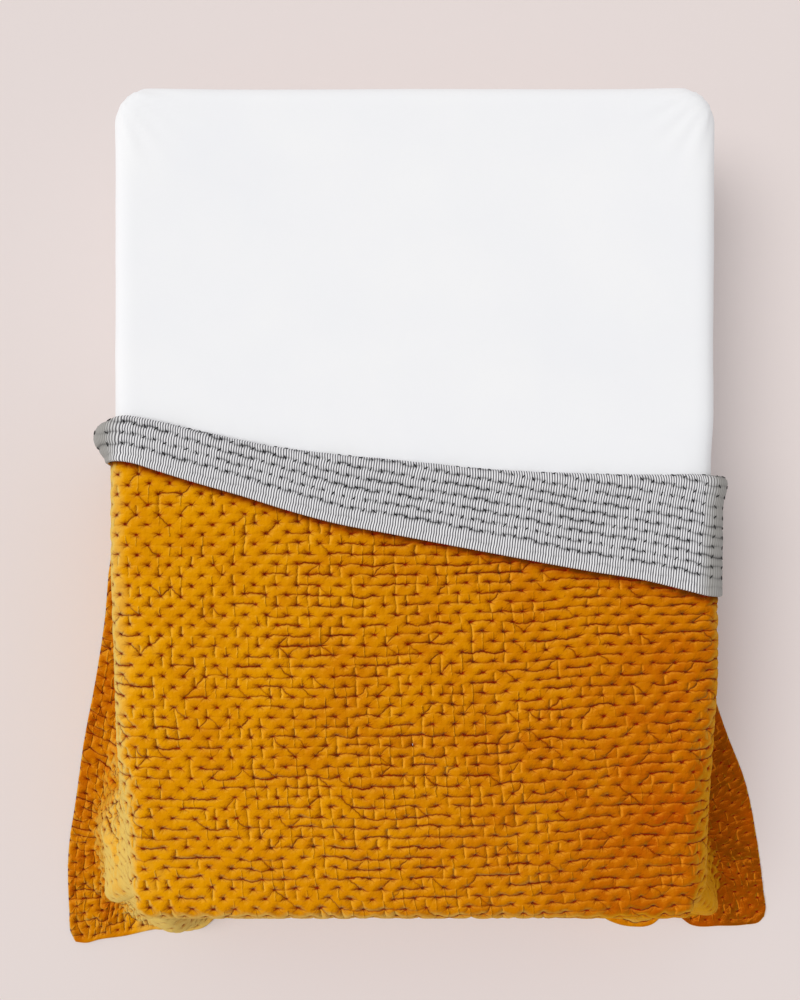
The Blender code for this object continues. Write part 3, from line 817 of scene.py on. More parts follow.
@dataclass(frozen=True)
class Give:
    """How the mattress's soft edges give under the quilt: down and in, more towards the foot's corners."""

    core_x: float
    core_y: float
    down: float = 0.030
    inward: float = 0.014
    reach: float = 0.095
    level: float = 0.14
    height: float = 0.20
    first: float = 0.22
    first_run: tuple[float, float] = (-0.20, 0.12)
    rest_run: tuple[float, float] = (0.05, 0.75)
    left_corner: float = 0.90
    right_corner: float = 0.35
    corner_run: tuple[float, float] = (0.55, 0.30)
    corner_side: float = 0.05
    held: float = 0.55
    held_place: float = -0.38
    held_width: float = 0.15
    spare: float = 1.12
    ahead: float = 0.006

    def points(self, x: Array, y: Array, z: Array, scale: float = 1.0, ahead: float = 0.0) -> Array:
        """Points of the mattress or the quilt once the mattress's edges have given.

        Args:
            x: places across the room.
            y: places along it.
            z: heights.
            scale: how much more the mattress gives than the quilt.
            ahead: how much sooner it does.

        Returns:
            The points, with x, y and z last.
        """
        past_side = np.maximum(np.abs(x) - self.core_x, 0)
        past_foot = np.maximum(-y - self.core_y, 0) * ease(past_side / self.corner_side)
        past = np.hypot(past_side, past_foot)
        past = past + ahead * ease(past / self.ahead)
        corner = np.where(x < 0, self.left_corner, self.right_corner) * onset(-y, *self.corner_run)
        held = self.held * (x > 0) * np.exp(-((y - self.held_place) / self.held_width) ** 2)
        share = self.first * onset(-y, *self.first_run) + (1 - self.first) * onset(-y, *self.rest_run)
        share = share + corner
        share = scale * share * (1 - held) * ease(past / self.reach) * onset(z, self.level, self.height)
        return np.stack([x - np.sign(x) * self.inward * share, y, z - self.down * share], axis=-1)


@dataclass(frozen=True)
class Drape:
    """How the quilt lies over the bed: from a flat place on the cloth to its place in the room."""

    half_x: float
    half_y: float
    bed_top: float
    half_width: float = HALF_WIDTH
    foot_hem: float = 1.365
    sheet: float = 0.0035
    piece_gap: float = 0.0003
    plan_corner: float = 0.080
    side_gap: float = 0.0025
    floor_gap: float = 0.0008
    edge_bend: float = 0.036
    corner_stand: float = 0.010
    fold_bend: float = 0.0105
    layer_gap: float = 0.0035
    fold_settle: float = 0.060
    fold_fade: float = 0.070
    end_stand: float = 0.017
    end_place: float = 0.143
    end_width: float = 0.036
    square_step: float = 1.5 * MM
    fall: Fall = Fall()

    @property
    def give(self) -> Give:
        """How the edges give under it."""
        return Give(self.core_x, self.core_y)

    @property
    def core_x(self) -> float:
        """Where the rounded corners start across the bed."""
        return self.half_x - self.plan_corner

    @property
    def core_y(self) -> float:
        """Where the rounded corners start along the bed."""
        return self.half_y - self.plan_corner

    @property
    def edge_start(self) -> float:
        """How far past the core the quilt starts to bend over the bed's edge."""
        return self.plan_corner + self.side_gap - self.edge_bend

    @property
    def edge_length(self) -> float:
        """The length of quilt that goes over the bed's edge."""
        return self.edge_bend * math.pi / 2

    @property
    def top_z(self) -> float:
        """The height of the quilt's underside on the bed."""
        return self.bed_top + self.piece_gap

    @property
    def thickness(self) -> float:
        """The quilt's whole thickness."""
        return 2 * self.sheet + self.piece_gap

    @property
    def middle(self) -> float:
        """Half the quilt's thickness."""
        return self.thickness / 2

    @property
    def fold_length(self) -> float:
        """The length of the quilt's middle that goes round the fold."""
        return math.pi * self.fold_bend

    def hem(self, name: str, along: Array) -> Array:
        """A column of the hem's tables at places along the flat hem."""
        left, foot, right = (smooth(table, "along", name, along)
                             for table in (LEFT_HEM, FOOT_HEM_LINE, RIGHT_HEM))
        return np.where(along < -self.half_width, left, np.where(along > self.half_width, right, foot))

    def lay(self, a: Array, b: Array) -> Array:
        """Where the quilt's underside lies.

        Args:
            a: places across the flat quilt.
            b: places along it, 0 at the middle of the bed and negative to the foot.

        Returns:
            The points in the room, with x, y and z last.
        """
        side_reach = self.half_width - self.core_x
        foot_reach = self.foot_hem - self.core_y
        side = np.where(a < 0, -1.0, 1.0)
        over_x = np.maximum(np.abs(a) - self.core_x, 0)
        over_y = np.maximum(-b - self.core_y, 0)
        ray = np.maximum(np.hypot(over_x, over_y), TINY)
        cos_ray = over_x / ray
        sin_ray = over_y / ray
        on_side = over_x * foot_reach >= over_y * side_reach
        safe_x = np.maximum(over_x, TINY)
        safe_y = np.maximum(over_y, TINY)
        down_side = np.where(over_y > 0, -self.core_y - side_reach * over_y / safe_x, b)
        along_foot = np.where(over_x > 0, self.core_x + foot_reach * over_x / safe_y, np.abs(a))
        along = side * np.where(on_side, self.half_width + down_side + self.foot_hem, along_foot)
        reach = np.where(on_side, side_reach / np.maximum(cos_ray, TINY),
                         foot_reach / np.maximum(sin_ray, TINY)) - self.edge_start
        past_edge = ray - self.edge_start

        core_x = side * np.minimum(np.abs(a), self.core_x)
        core_y = np.maximum(b, -self.core_y)
        stand = self.corner_stand * (2 * sin_ray * cos_ray) ** 2
        end = self.end_stand * np.exp(-((b - self.end_place) / self.end_width) ** 2)
        stand = stand + np.where(a < 0, end, 0)
        turn = np.clip(past_edge / self.edge_bend, 0, math.pi / 2)
        plan = np.where(past_edge > 0, self.edge_start + self.edge_bend * np.sin(turn), ray)
        plan = plan + stand * np.sin(turn)
        x = core_x + side * cos_ray * plan
        y = core_y - sin_ray * plan
        z = self.top_z - self.edge_bend * (1 - np.cos(turn))

        wall = self.plan_corner + self.side_gap + stand
        wall_x = core_x + side * cos_ray * wall
        wall_y = core_y - sin_ray * wall
        to_x = self.hem("x", along) - wall_x
        to_y = self.hem("y", along) - wall_y
        run = np.hypot(to_x, to_y)
        knee = np.minimum(self.hem("knee", along), run)
        lean = self.hem("lean", along)
        height = self.top_z - self.edge_bend - self.floor_gap
        path = self.fall.path(knee, lean, height)
        fall = path[:, -1].reshape(knee.shape)
        share = (past_edge - self.edge_length) / (reach - self.edge_length)
        gone = np.maximum(share, 0) * (fall + run - knee)
        u = self.fall.down(path, gone)
        out, up = self.fall.point(u, knee, lean, height)
        out = out + np.maximum(gone - fall, 0) + self.fall.swell(along, u)
        falls = share > 0
        x = np.where(falls, wall_x + to_x / run * out, x)
        y = np.where(falls, wall_y + to_y / run * out, y)
        z = np.where(falls, self.floor_gap + up, z)
        return self.give.points(x, y, z)

    def above(self, a: Array, b: Array, height: Array) -> Array:
        """Points at a height over the quilt's underside, square to it."""
        step = self.square_step
        across = self.lay(a + step, b) - self.lay(a - step, b)
        length = self.lay(a, b + step) - self.lay(a, b - step)
        normal = np.cross(across, length)
        normal /= np.maximum(np.linalg.norm(normal, axis=-1, keepdims=True), TINIEST)
        return self.lay(a, b) + normal * height[..., None]

    def turn(self, name: str, a: Array) -> Array:
        """A column of the turn's table at places across the quilt."""
        return smooth(TURNS, "across", name, a)

    def band_hem(self, a: Array) -> Array:
        """Where the turned-back end's hem lies on the velvet, as flat places along, at places across."""
        over = a + self.turn("lean", a) * self.turn("band", a)
        fold, band, lean = (self.turn(name, over) for name in ("fold", "band", "lean"))
        return fold - band * np.sqrt(1 - lean ** 2)

    def place(self, a: Array, past_fold: Array, offset: Array) -> Array:
        """A point of the quilt.

        Args:
            a: places across the flat quilt.
            past_fold: flat distance past the start of the fold, negative on the lower layer.
            offset: distance from the middle of the quilt's thickness, towards the velvet.

        Returns:
            The points in the room.
        """
        fold = self.turn("fold", a)
        lean = self.turn("lean", a)
        angle = np.clip(past_fold / self.fold_bend, 0, math.pi) - math.pi / 2
        back = np.maximum(past_fold - self.fold_length, 0)
        settle = ease(back / self.fold_settle)
        rest = self.middle + self.thickness + self.layer_gap
        top = self.middle + 2 * self.fold_bend
        on_fold = (past_fold > 0) & (back <= 0)
        on_band = back > 0
        bend = self.fold_bend - offset
        height = np.where(on_band, top + (rest - top) * settle - offset,
                          np.where(on_fold, self.middle + self.fold_bend + bend * np.sin(angle),
                                   self.middle + offset))
        ahead = np.where(on_fold, bend * np.cos(angle), 0)
        slant = np.where(on_band, lean * back, 0)
        b = fold + np.where(past_fold <= 0, past_fold, ahead - back * np.sqrt(1 - lean ** 2))
        height = height + soft_creases(DROP_FOLDS, a, b) * ease(self.lay(a, b)[..., 2] / self.fold_fade)
        return self.above(a - slant, b, height)


# ---------------------------------------------------------------- stitches and creases


@dataclass
class Wander:
    """Smooth random numbers over the flat cloth, from -1 to 1, the same on each run."""

    seed: int
    cell: float
    size: int = 160

    def __post_init__(self) -> None:
        """Draws the grid of numbers."""
        self.grid = np.random.default_rng(self.seed).uniform(-1, 1, (self.size, self.size))

    def at(self, a: Array, b: Array) -> Array:
        """The numbers at flat places, eased between the grid's points."""
        x = a / self.cell + self.size / 2
        y = b / self.cell + self.size / 2
        i = np.floor(x).astype(int)
        j = np.floor(y).astype(int)
        s, t = ease(x - i), ease(y - j)
        i0, i1 = i % self.size, (i + 1) % self.size
        j0, j1 = j % self.size, (j + 1) % self.size
        low = self.grid[i0, j0] * (1 - s) + self.grid[i1, j0] * s
        high = self.grid[i0, j1] * (1 - s) + self.grid[i1, j1] * s
        return low * (1 - t) + high * t


class Side(Enum):
    """Which side of the quilt a set of stitches is on."""

    FACE = "face"
    BACK = "back"


class Pinch(NamedTuple):
    """How far the cloth is drawn in along a row crease and round a stitch, on one side of the quilt."""

    row_width: float
    stitch_width: float
    stitch_depth: float


PINCHES = {Side.FACE: Pinch(3.5 * MM, 6.0 * MM, 1.0), Side.BACK: Pinch(3.2 * MM, 4.0 * MM, 0.8)}


class Spread(NamedTuple):
    """How much there is of something in the middle of the quilt, and what each side adds to it."""

    middle: float
    inner_left: float = 0.0
    inner_right: float = 0.0
    left: float = 0.0
    right: float = 0.0


# Where each side starts, in stitch columns from the middle, and the columns that it takes to come in
INNER_LEFT = (12, 8)
INNER_RIGHT = (6, 10)
OUTER = (32, 5)

# Share of the places with a strong slanting or upright crease, and how strong it is
SLANT_SHARE = Spread(0.08, left=0.34, right=0.14)
SLANT_STRENGTH = Spread(1.0, left=0.25)
UPRIGHT_SHARE = Spread(0.56, inner_left=-0.26, inner_right=-0.34, left=0.56, right=0.32)
UPRIGHT_STRENGTH = Spread(1.0, inner_right=-0.35, left=0.10, right=0.45)


@dataclass
class StitchGrid:
    """The hand stitches of one side: their grid, and how strong each crease between them is.

    A piece is the stretch of a row from one stitch to the next, and a line is a row's number.
    """

    side: Side
    pitch: StitchPitch
    seed: int
    margin: float = 0.020
    pad: int = 60
    span: int = 40

    # How many row creases the velvet has, fewer at the left, high up and where it hangs at the right
    linked: float = 0.58
    linked_patch: float = 0.22
    patch_cell: float = 5.0
    patch_squash: float = 0.6
    left_run: tuple[float, float] = (5, 5)
    linked_left: float = 0.30
    high_run: tuple[float, float] = (30, 20)
    linked_high: float = 0.12
    hung_run: tuple[float, float] = (15, 2)
    linked_hung: float = 0.7
    wing_share: float = 0.66
    wing_left: float = 0.55
    wing_hung: float = 0.35
    wing_reach: float = 0.46

    # Row creases on the backing: most rows are full, some are fainter, and the first is hardly there
    full_rows: float = 0.70
    faint_row: float = 0.62
    first_row: float = 0.3
    uneven_share: float = 0.6

    bow_most: float = 0.24
    row_bow_most: float = 0.19
    mirrored: float = 0.75
    upright_ridge: float = -0.8
    arm_share: float = 0.45
    arm_reach: float = 0.24
    taper_share: float = 0.5
    slant_width: float = 3.6 * MM
    slant_depth: float = 0.8
    upright_width: float = 3.4 * MM
    pinch_power: float = 1.3
    tone_edge: float = 0.2

    def __post_init__(self) -> None:
        """Draws the strength of each crease and how far it bows."""
        rng = np.random.default_rng(self.seed)
        shape = (2 * self.pad + self.span,) * 2

        def mixed(share: float | Array, weak: tuple[float, float], strong: tuple[float, float]) -> Array:
            """Weak and strong numbers, strong in the given share of the places."""
            pick, soft = rng.random(shape), rng.random(shape)
            return np.where(pick < share, strong[0] + (strong[1] - strong[0]) * soft,
                            weak[0] + (weak[1] - weak[0]) * soft)

        face = self.side is Side.FACE
        columns = (np.arange(shape[0]) - self.pad)[:, None] * float(face)
        zones = (onset(-columns, *INNER_LEFT), onset(columns, *INNER_RIGHT),
                 onset(-columns, *OUTER), onset(columns, *OUTER))

        def spread(amount: Spread) -> Array:
            """An amount at each column."""
            return amount.middle + sum(part * zone for part, zone in zip(amount[1:], zones))

        if face:
            piece = np.arange(shape[0])[:, None] - self.pad
            line = np.arange(shape[1])[None, :] - self.pad
            patch = Wander(self.seed + 1, self.patch_cell).at(piece + line / 2, line * self.patch_squash)
            hung = onset(piece, *self.hung_run)
            at_left = onset(-piece, *self.left_run)
            linked = self.linked - self.linked_left * at_left - self.linked_high * onset(line, *self.high_run)
            linked = (linked + self.linked_patch * patch) * (1 - self.linked_hung * hung)
            self.row = mixed(linked, weak=(0.0, 0.08), strong=(0.50, 1.0))
            small = 1 - self.wing_left * at_left - self.wing_hung * hung
            self.wing_start, self.wing_end = (
                mixed(self.wing_share, weak=(0.1, 0.35), strong=(0.6, 1.1)) * small for _ in range(2))
        else:
            line = rng.random((1, shape[1]))
            full = np.where(line < self.full_rows, 1.0, self.faint_row)
            self.row = np.clip(full + mixed(self.uneven_share, weak=(-0.42, -0.15), strong=(0.0, 0.25)), 0, 1)
            self.row[:, self.pad] *= self.first_row
            self.wing_start, self.wing_end = np.zeros((2, *shape))
        self.slant = mixed(spread(SLANT_SHARE), weak=(0.0, 0.02), strong=(0.40, 0.85))
        self.slant = self.slant * spread(SLANT_STRENGTH)
        self.slant = self.slant * np.where(rng.random(shape) < self.mirrored * zones[2], -1, 1)
        self.upright = mixed(spread(UPRIGHT_SHARE), weak=(0.0, 0.0), strong=(0.40, 0.90))
        self.upright = self.upright * spread(UPRIGHT_STRENGTH) * rng.choice((self.upright_ridge, 1.0), shape)
        self.taper = mixed(self.taper_share, weak=(0.10, 0.25), strong=(0.45, 0.75))
        self.tone = rng.uniform(-1, 1, shape)
        self.arm_low, self.arm_high = (
            mixed(self.arm_share, weak=(0.0, 0.2), strong=(0.4, 0.9)) for _ in range(2))
        self.bow = rng.uniform(-self.bow_most, self.bow_most, shape)
        self.row_bow = rng.uniform(-self.row_bow_most, self.row_bow_most, shape)

    def index(self, values: Array) -> NDArray[np.int64]:
        """Whole numbers of the grid as places in the strength tables."""
        return np.clip(values.astype(int) + self.pad, 0, 2 * self.pad + self.span - 1)

    def row_piece(self, table: Array, c: Array, r: Array) -> Array:
        """A table's number for the piece of row r between the stitches on each side of column c."""
        piece = np.floor((c - np.mod(r, 2)) / 2)
        return table[self.index(piece), self.index(r)]

    def row_line(self, c: Array, r: Array) -> tuple[Array, Array]:
        """The crease of row r at columns c.

        Args:
            c: places across, in half stitch pitches.
            r: the rows' numbers.

        Returns:
            Its strength, and how far it bows between stitches.
        """
        share = np.mod((c - np.mod(r, 2)) / 2, 1)
        hump = np.sin(math.pi * share)
        strength = self.row_piece(self.row, c, r) * (1 - self.row_piece(self.taper, c, r) * hump)
        for wing, past in ((self.wing_start, share), (self.wing_end, 1 - share)):
            near = np.maximum(1 - past / self.wing_reach, 0)
            strength = np.maximum(strength, self.row_piece(wing, c, r) * near)
        return strength, self.row_piece(self.row_bow, c, r) * hump

    def relief(self, a: Array, run: Array) -> dict[str, Array]:
        """The height of the cloth between its stitches, and the creases' strengths.

        Args:
            a: even places across.
            run: even places along, from the hem that this side's rows start at.

        Returns:
            height from 0 at a stitch to 1 on a full puff, and the numbers that the finish reads.
        """
        c, r = a / self.pitch.half, (run - self.margin) / self.pitch.row
        c0, r0 = np.floor(c), np.floor(r)
        x, y = c - c0, r - r0
        cell = (self.index(c0), self.index(r0))
        half, row = self.pitch.half, self.pitch.row
        sewn = (r0 >= 0).astype(float)
        face = self.side is Side.FACE
        pinch = PINCHES[self.side]
        height = np.ones(c.shape)
        strengths = []
        for line, gap, real in ((r0, y, sewn), (r0 + 1, y - 1, (r0 >= -1).astype(float))):
            strength, bow = self.row_line(c, line)
            height *= 1 - strength * real * np.exp(-np.abs(gap - bow) * row / pinch.row_width)
            strengths.append(strength * real)
        even = np.mod(c0 + r0, 2) < 0.5
        turned = np.where(even, y, 1 - y)
        share = (x + turned) / 2
        arm_low, arm_high = (arm[cell] * np.exp(-(past / self.arm_reach) ** 2)
                             for arm, past in ((self.arm_low, share), (self.arm_high, 1 - share)))
        slant = (self.slant[cell] + (1 - self.slant[cell]) * (arm_low + arm_high)) * sewn
        off = np.abs(x - turned - self.bow[cell] * np.sin(math.pi * share)) * self.pitch.slant
        left = self.upright[cell] * sewn
        right = self.upright[self.index(c0 + 1), cell[1]] * sewn
        if face:
            height *= 1 - self.slant_depth * slant * np.exp(-off / self.slant_width)
            for upright, past in ((left, x), (right, 1 - x)):
                height *= 1 - np.maximum(upright, 0) * np.exp(-past * half / self.upright_width)
        for dx, dy in ((0, 0), (1, 0), (0, 1), (1, 1)):
            is_stitch = np.mod(c0 + dx + r0 + dy, 2) < 0.5 if face else np.full(c.shape, True)
            real = is_stitch & (r0 + dy >= 0)
            far = np.hypot((x - dx) * half, (y - dy) * row)
            drawn = pinch.stitch_depth * np.exp(-(far / pinch.stitch_width) ** self.pinch_power)
            height *= 1 - np.where(real, drawn, 0)
        low = y < 0.5
        bows = [self.row_piece(self.row_bow, c, line) for line in (r0, r0 + 1)]
        inside = np.minimum(np.minimum(x, 1 - x), np.minimum(y, 1 - y) + self.tone_edge / 2)
        return {
            "height": height,
            "row_crease": np.where(low, *strengths),
            "row_bow": np.where(low, *bows),
            "slant_crease": slant,
            "slant_bow": self.bow[cell],
            "upright_crease": np.where(x < 0.5, left, right),
            "tone": self.tone[cell] * inside.clip(0, self.tone_edge) / self.tone_edge,
        }


# ---------------------------------------------------------------- meshes


def stops(*stretches: tuple[float, float, int]) -> Array:
    """Grid stops from (start, end, cells) stretches that follow on from each other."""
    points = [np.linspace(start, end, cells, endpoint=False) for start, end, cells in stretches]
    return np.concatenate(points + [np.array([stretches[-1][1]])])


def between(start: float, end: float, pitch: float, inner: Sequence[float]) -> Array:
    """Grid stops that fall on each stitch line and at set shares of the way to the next.

    Args:
        start: the first line's place.
        end: where the lines stop.
        pitch: the distance between lines.
        inner: the shares between two lines, from 0.

    Returns:
        The places.
    """
    lines = np.arange(start, end, pitch)
    places = (lines[:, None] + np.array(inner)[None, :] * pitch).reshape(-1)
    return places[places < end]


def mesh_object(name: str, mesh: bpy.types.Mesh, material: bpy.types.Material) -> bpy.types.Object:
    """Puts a mesh in the scene with its material and smooth faces, riding on the bed."""
    mesh.materials.append(material)
    mesh.shade_smooth()
    obj = bpy.data.objects.new(name, mesh)
    bpy.context.scene.collection.objects.link(obj)
    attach(obj, ROOT_BODY)
    return obj


def off_floor(points: Array) -> NDArray[np.float32]:
    """The points, with any that would sink into the floor lifted just clear of it."""
    lifted = points.astype(np.float32)
    lifted[..., 2] = np.maximum(lifted[..., 2], FLOOR_CLEAR)
    return lifted


def vertex_vectors(mesh: bpy.types.Mesh, key: str) -> Array:
    """A mesh's points or normals, one to a row."""
    flat = np.zeros(len(mesh.vertices) * 3, np.float32)
    mesh.vertices.foreach_get(key, flat)
    return flat.reshape(-1, 3).astype(float)


def grid_mesh(name: str, points: Array, layers: dict[str, Array],
              maps: dict[str, tuple[Array, Array]]) -> bpy.types.Mesh:
    """A sheet of quads from a grid, moved to its points.

    Args:
        name: the mesh's name.
        points: the points by column and line.
        layers: numbers for each point that the finish reads.
        maps: UV maps, each as two arrays by column and line.

    Returns:
        The mesh.
    """
    columns, lines = points.shape[:2]
    bm = bmesh.new()
    bmesh.ops.create_grid(bm, x_segments=columns - 1, y_segments=lines - 1, size=0.5)
    mesh = bpy.data.meshes.new(name)
    bm.to_mesh(mesh)
    bm.free()
    flat = vertex_vectors(mesh, "co")
    i = np.rint((flat[:, 0] + 0.5) * (columns - 1)).astype(int)
    j = np.rint((flat[:, 1] + 0.5) * (lines - 1)).astype(int)
    mesh.vertices.foreach_set("co", off_floor(points[i, j]).reshape(-1))
    for key, values in layers.items():
        layer = mesh.attributes.new(key, "FLOAT", "POINT")
        layer.data.foreach_set("value", values[i, j].astype(np.float32))
    corner = np.zeros(len(mesh.loops), np.int32)
    mesh.loops.foreach_get("vertex_index", corner)
    for key, (u, v) in maps.items():
        layer = mesh.uv_layers.new(name=key)
        pair = np.stack([u[i, j][corner], v[i, j][corner]], axis=-1)
        layer.uv.foreach_set("vector", pair.astype(np.float32).reshape(-1))
    mesh.update()
    return mesh


def joined_copies(name: str, template: bmesh.types.BMesh, origins: Array, axes: Array) -> bpy.types.Mesh:
    """Many copies of one small shape in one mesh.

    Args:
        name: the mesh's name.
        template: the shape.
        origins: where each copy goes.
        axes: each copy's own x, y and z axes, as rows.

    Returns:
        The joined mesh.
    """
    small = bpy.data.meshes.new(name + "_shape")
    template.to_mesh(small)
    template.free()
    shape = np.array([vert.co[:] for vert in small.vertices])
    bm = bmesh.new()
    for _ in range(len(origins)):
        bm.from_mesh(small)
    mesh = bpy.data.meshes.new(name)
    bm.to_mesh(mesh)
    bm.free()
    bpy.data.meshes.remove(small)
    points = origins[:, None, :] + np.einsum("vk,nkx->nvx", shape, axes)
    mesh.vertices.foreach_set("co", off_floor(points).reshape(-1))
    mesh.update()
    return mesh


def thread_shape(length: float, radius: float) -> bmesh.types.BMesh:
    """A short stitch of thread: a slim rounded bar along x."""
    bm = bmesh.new()
    bmesh.ops.create_uvsphere(bm, u_segments=6, v_segments=4, radius=1)
    to_side = Vector((0, 0, 1)).rotation_difference(Vector((1, 0, 0))).to_matrix()
    bmesh.ops.rotate(bm, verts=bm.verts[:], matrix=to_side)
    bmesh.ops.scale(bm, vec=(length / 2, radius, radius), verts=bm.verts[:])
    return bm


# ---------------------------------------------------------------- the quilt


@dataclass(frozen=True)
class Nap:
    """Which way the brushed pile leans, from 0 away from the head to 1 towards it.

    It leans towards the head at the left and away at the right, which also paints the light falling from the
    left: yellower at the left and deeper orange at the right. It lies flatter where the quilt has dropped,
    and goes below 0 for a painted shade on the right flap and in the troughs of the drop folds. It goes past
    1 for a painted sheen on the left edge of the top, on the steep left wall and low on the fall at the foot.
    """

    drape: Drape
    broad: Wander = field(default_factory=lambda: Wander(9, 0.16))
    fine: Wander = field(default_factory=lambda: Wander(10, 0.055))
    middle: float = 0.58
    # Its fall from the left to the right also paints the light falling from the left
    to_side: float = 0.36
    side: float = 0.70
    uneven: float = 0.10
    inner_right: tuple[float, float] = (0.2, 0.3)
    low: tuple[float, float] = (0.45, 0.3)
    low_right: float = 0.12
    # Painted sheen at the left edge of the top
    left_edge: tuple[float, float] = (0.63, 0.05)
    left_edge_sheen: float = 0.55
    left_drop: tuple[float, float] = (0.90, 0.10)
    right_drop: tuple[float, float] = (0.80, 0.12)
    dropped_left: tuple[float, float] = (0.43, 0.30)
    # On the right flap the lean goes below 0, for a painted shade
    dropped_right_shade: tuple[float, float] = (-0.22, 0.15)
    # Painted shade in the troughs of the drop folds
    fold_shade_depth: float = 24 * MM
    # Painted sheen on the steep left wall
    wall_start: tuple[float, float] = (-0.025, 0.02)
    wall_end: tuple[float, float] = (0.07, 0.08)
    wall_in: float = 0.06
    wall_sheen: float = 1.05
    # Painted sheen low on the fall at the foot
    lobe_run: tuple[float, float] = (-0.16, 0.08)
    lobe_side: tuple[float, float] = (0.80, 0.05)
    foot_sheen: float = 0.45

    def at(self, a: Array, v: Array) -> Array:
        """The lean at flat places across, and along from the foot hem."""
        drape = self.drape
        length = v - drape.foot_hem
        fine = self.fine.at(a, v)
        lean = self.middle - self.to_side * np.clip(a / self.side, -1, 1)
        lean = lean + self.uneven * (self.broad.at(a, v) + self.fine.at(a + 2, v))
        lean = lean - self.low_right * onset(a, *self.inner_right) * onset(-length, *self.low)
        lean = lean + self.left_edge_sheen * onset(-a, *self.left_edge)
        drop = np.where(a < 0, onset(-a, *self.left_drop), onset(a, *self.right_drop))
        flat = np.where(a < 0, self.dropped_left[0] + self.dropped_left[1] * fine,
                        self.dropped_right_shade[0] + self.dropped_right_shade[1] * fine)
        fold_shade = np.minimum(soft_creases(DROP_FOLDS, a, length), 0) / self.fold_shade_depth
        over_x = np.maximum(-a - drape.core_x, 0)
        over_y = np.maximum(-length - drape.core_y, 0)
        past = np.hypot(over_x, over_y) - drape.edge_start - drape.edge_length
        wall = onset(past, *self.wall_start) * (1 - onset(past, *self.wall_end)) * ease(over_x / self.wall_in)
        lobe = onset(-length - drape.foot_hem, *self.lobe_run) * (1 - onset(np.abs(a), *self.lobe_side))
        return lean * (1 - drop) + flat * drop + fold_shade + self.wall_sheen * wall + self.foot_sheen * lobe


@dataclass(frozen=True)
class Pull:
    """The uneven pull of the hand stitching, from an even grid to the flat cloth."""

    half_width: float
    foot_hem: float
    fine: tuple[Wander, Wander] = field(default_factory=lambda: (Wander(5, 0.032), Wander(6, 0.032)))
    broad: tuple[Wander, Wander] = field(default_factory=lambda: (Wander(7, 0.130), Wander(8, 0.130)))
    near_hem: float = 0.05
    broad_hems: tuple[float, float] = (0.45, 0.40)
    shear: float = 0.060
    tilt: float = 0.035
    tilt_run: tuple[float, float] = (-0.1, 0.8)
    tilt_low: float = 0.4
    loose: float = 1.6
    loose_run: tuple[float, float] = (0.80, 0.08)
    fine_face: tuple[float, float] = (1.9 * MM, 1.5 * MM)
    broad_face: tuple[float, float] = (4.5 * MM, 4.0 * MM)
    fine_back: tuple[float, float] = (1.2 * MM, 1.8 * MM)
    broad_back: float = 4.0 * MM
    back_shift: float = 3.0

    def inside(self, a: Array, v: Array) -> Array:
        """How free of the hems a place is, 0 on a hem."""
        return ease((self.half_width - np.abs(a)) / self.near_hem) * ease(v / self.near_hem)

    def face(self, a: Array, v: Array) -> tuple[Array, Array]:
        """The uneven places of the velvet.

        Args:
            a: even places across.
            v: even places along, from the foot hem.

        Returns:
            The uneven places across and along.
        """
        length = v - self.foot_hem
        inside = self.inside(a, v)
        broad_in = ease((self.half_width - np.abs(a)) / self.broad_hems[0]) * ease(v / self.broad_hems[1])
        shear = self.shear * np.minimum(length, 0) ** 2 * broad_in
        tilt = self.tilt * onset(a, *self.tilt_run) * broad_in * ease(-length / self.tilt_low)
        loose = inside * (1 + self.loose * onset(np.abs(a), *self.loose_run))
        moved = [loose * fine * wander.at(a, v) + inside * broad * swing.at(a, v)
                 for fine, wander, broad, swing in zip(self.fine_face, self.fine,
                                                       self.broad_face, self.broad)]
        return a + shear + moved[0], v + tilt + moved[1]

    def back(self, a: Array, d: Array) -> tuple[Array, Array]:
        """The uneven places of the backing, from even places across and even distances from the head hem."""
        inside = self.inside(a, d)
        shifted = a + self.back_shift
        right = self.fine_back[0] * self.fine[0].at(shifted, d)
        down = self.fine_back[1] * self.fine[1].at(shifted, d)
        down = down + self.broad_back * self.broad[1].at(shifted, d)
        return a + inside * right, d + inside * down


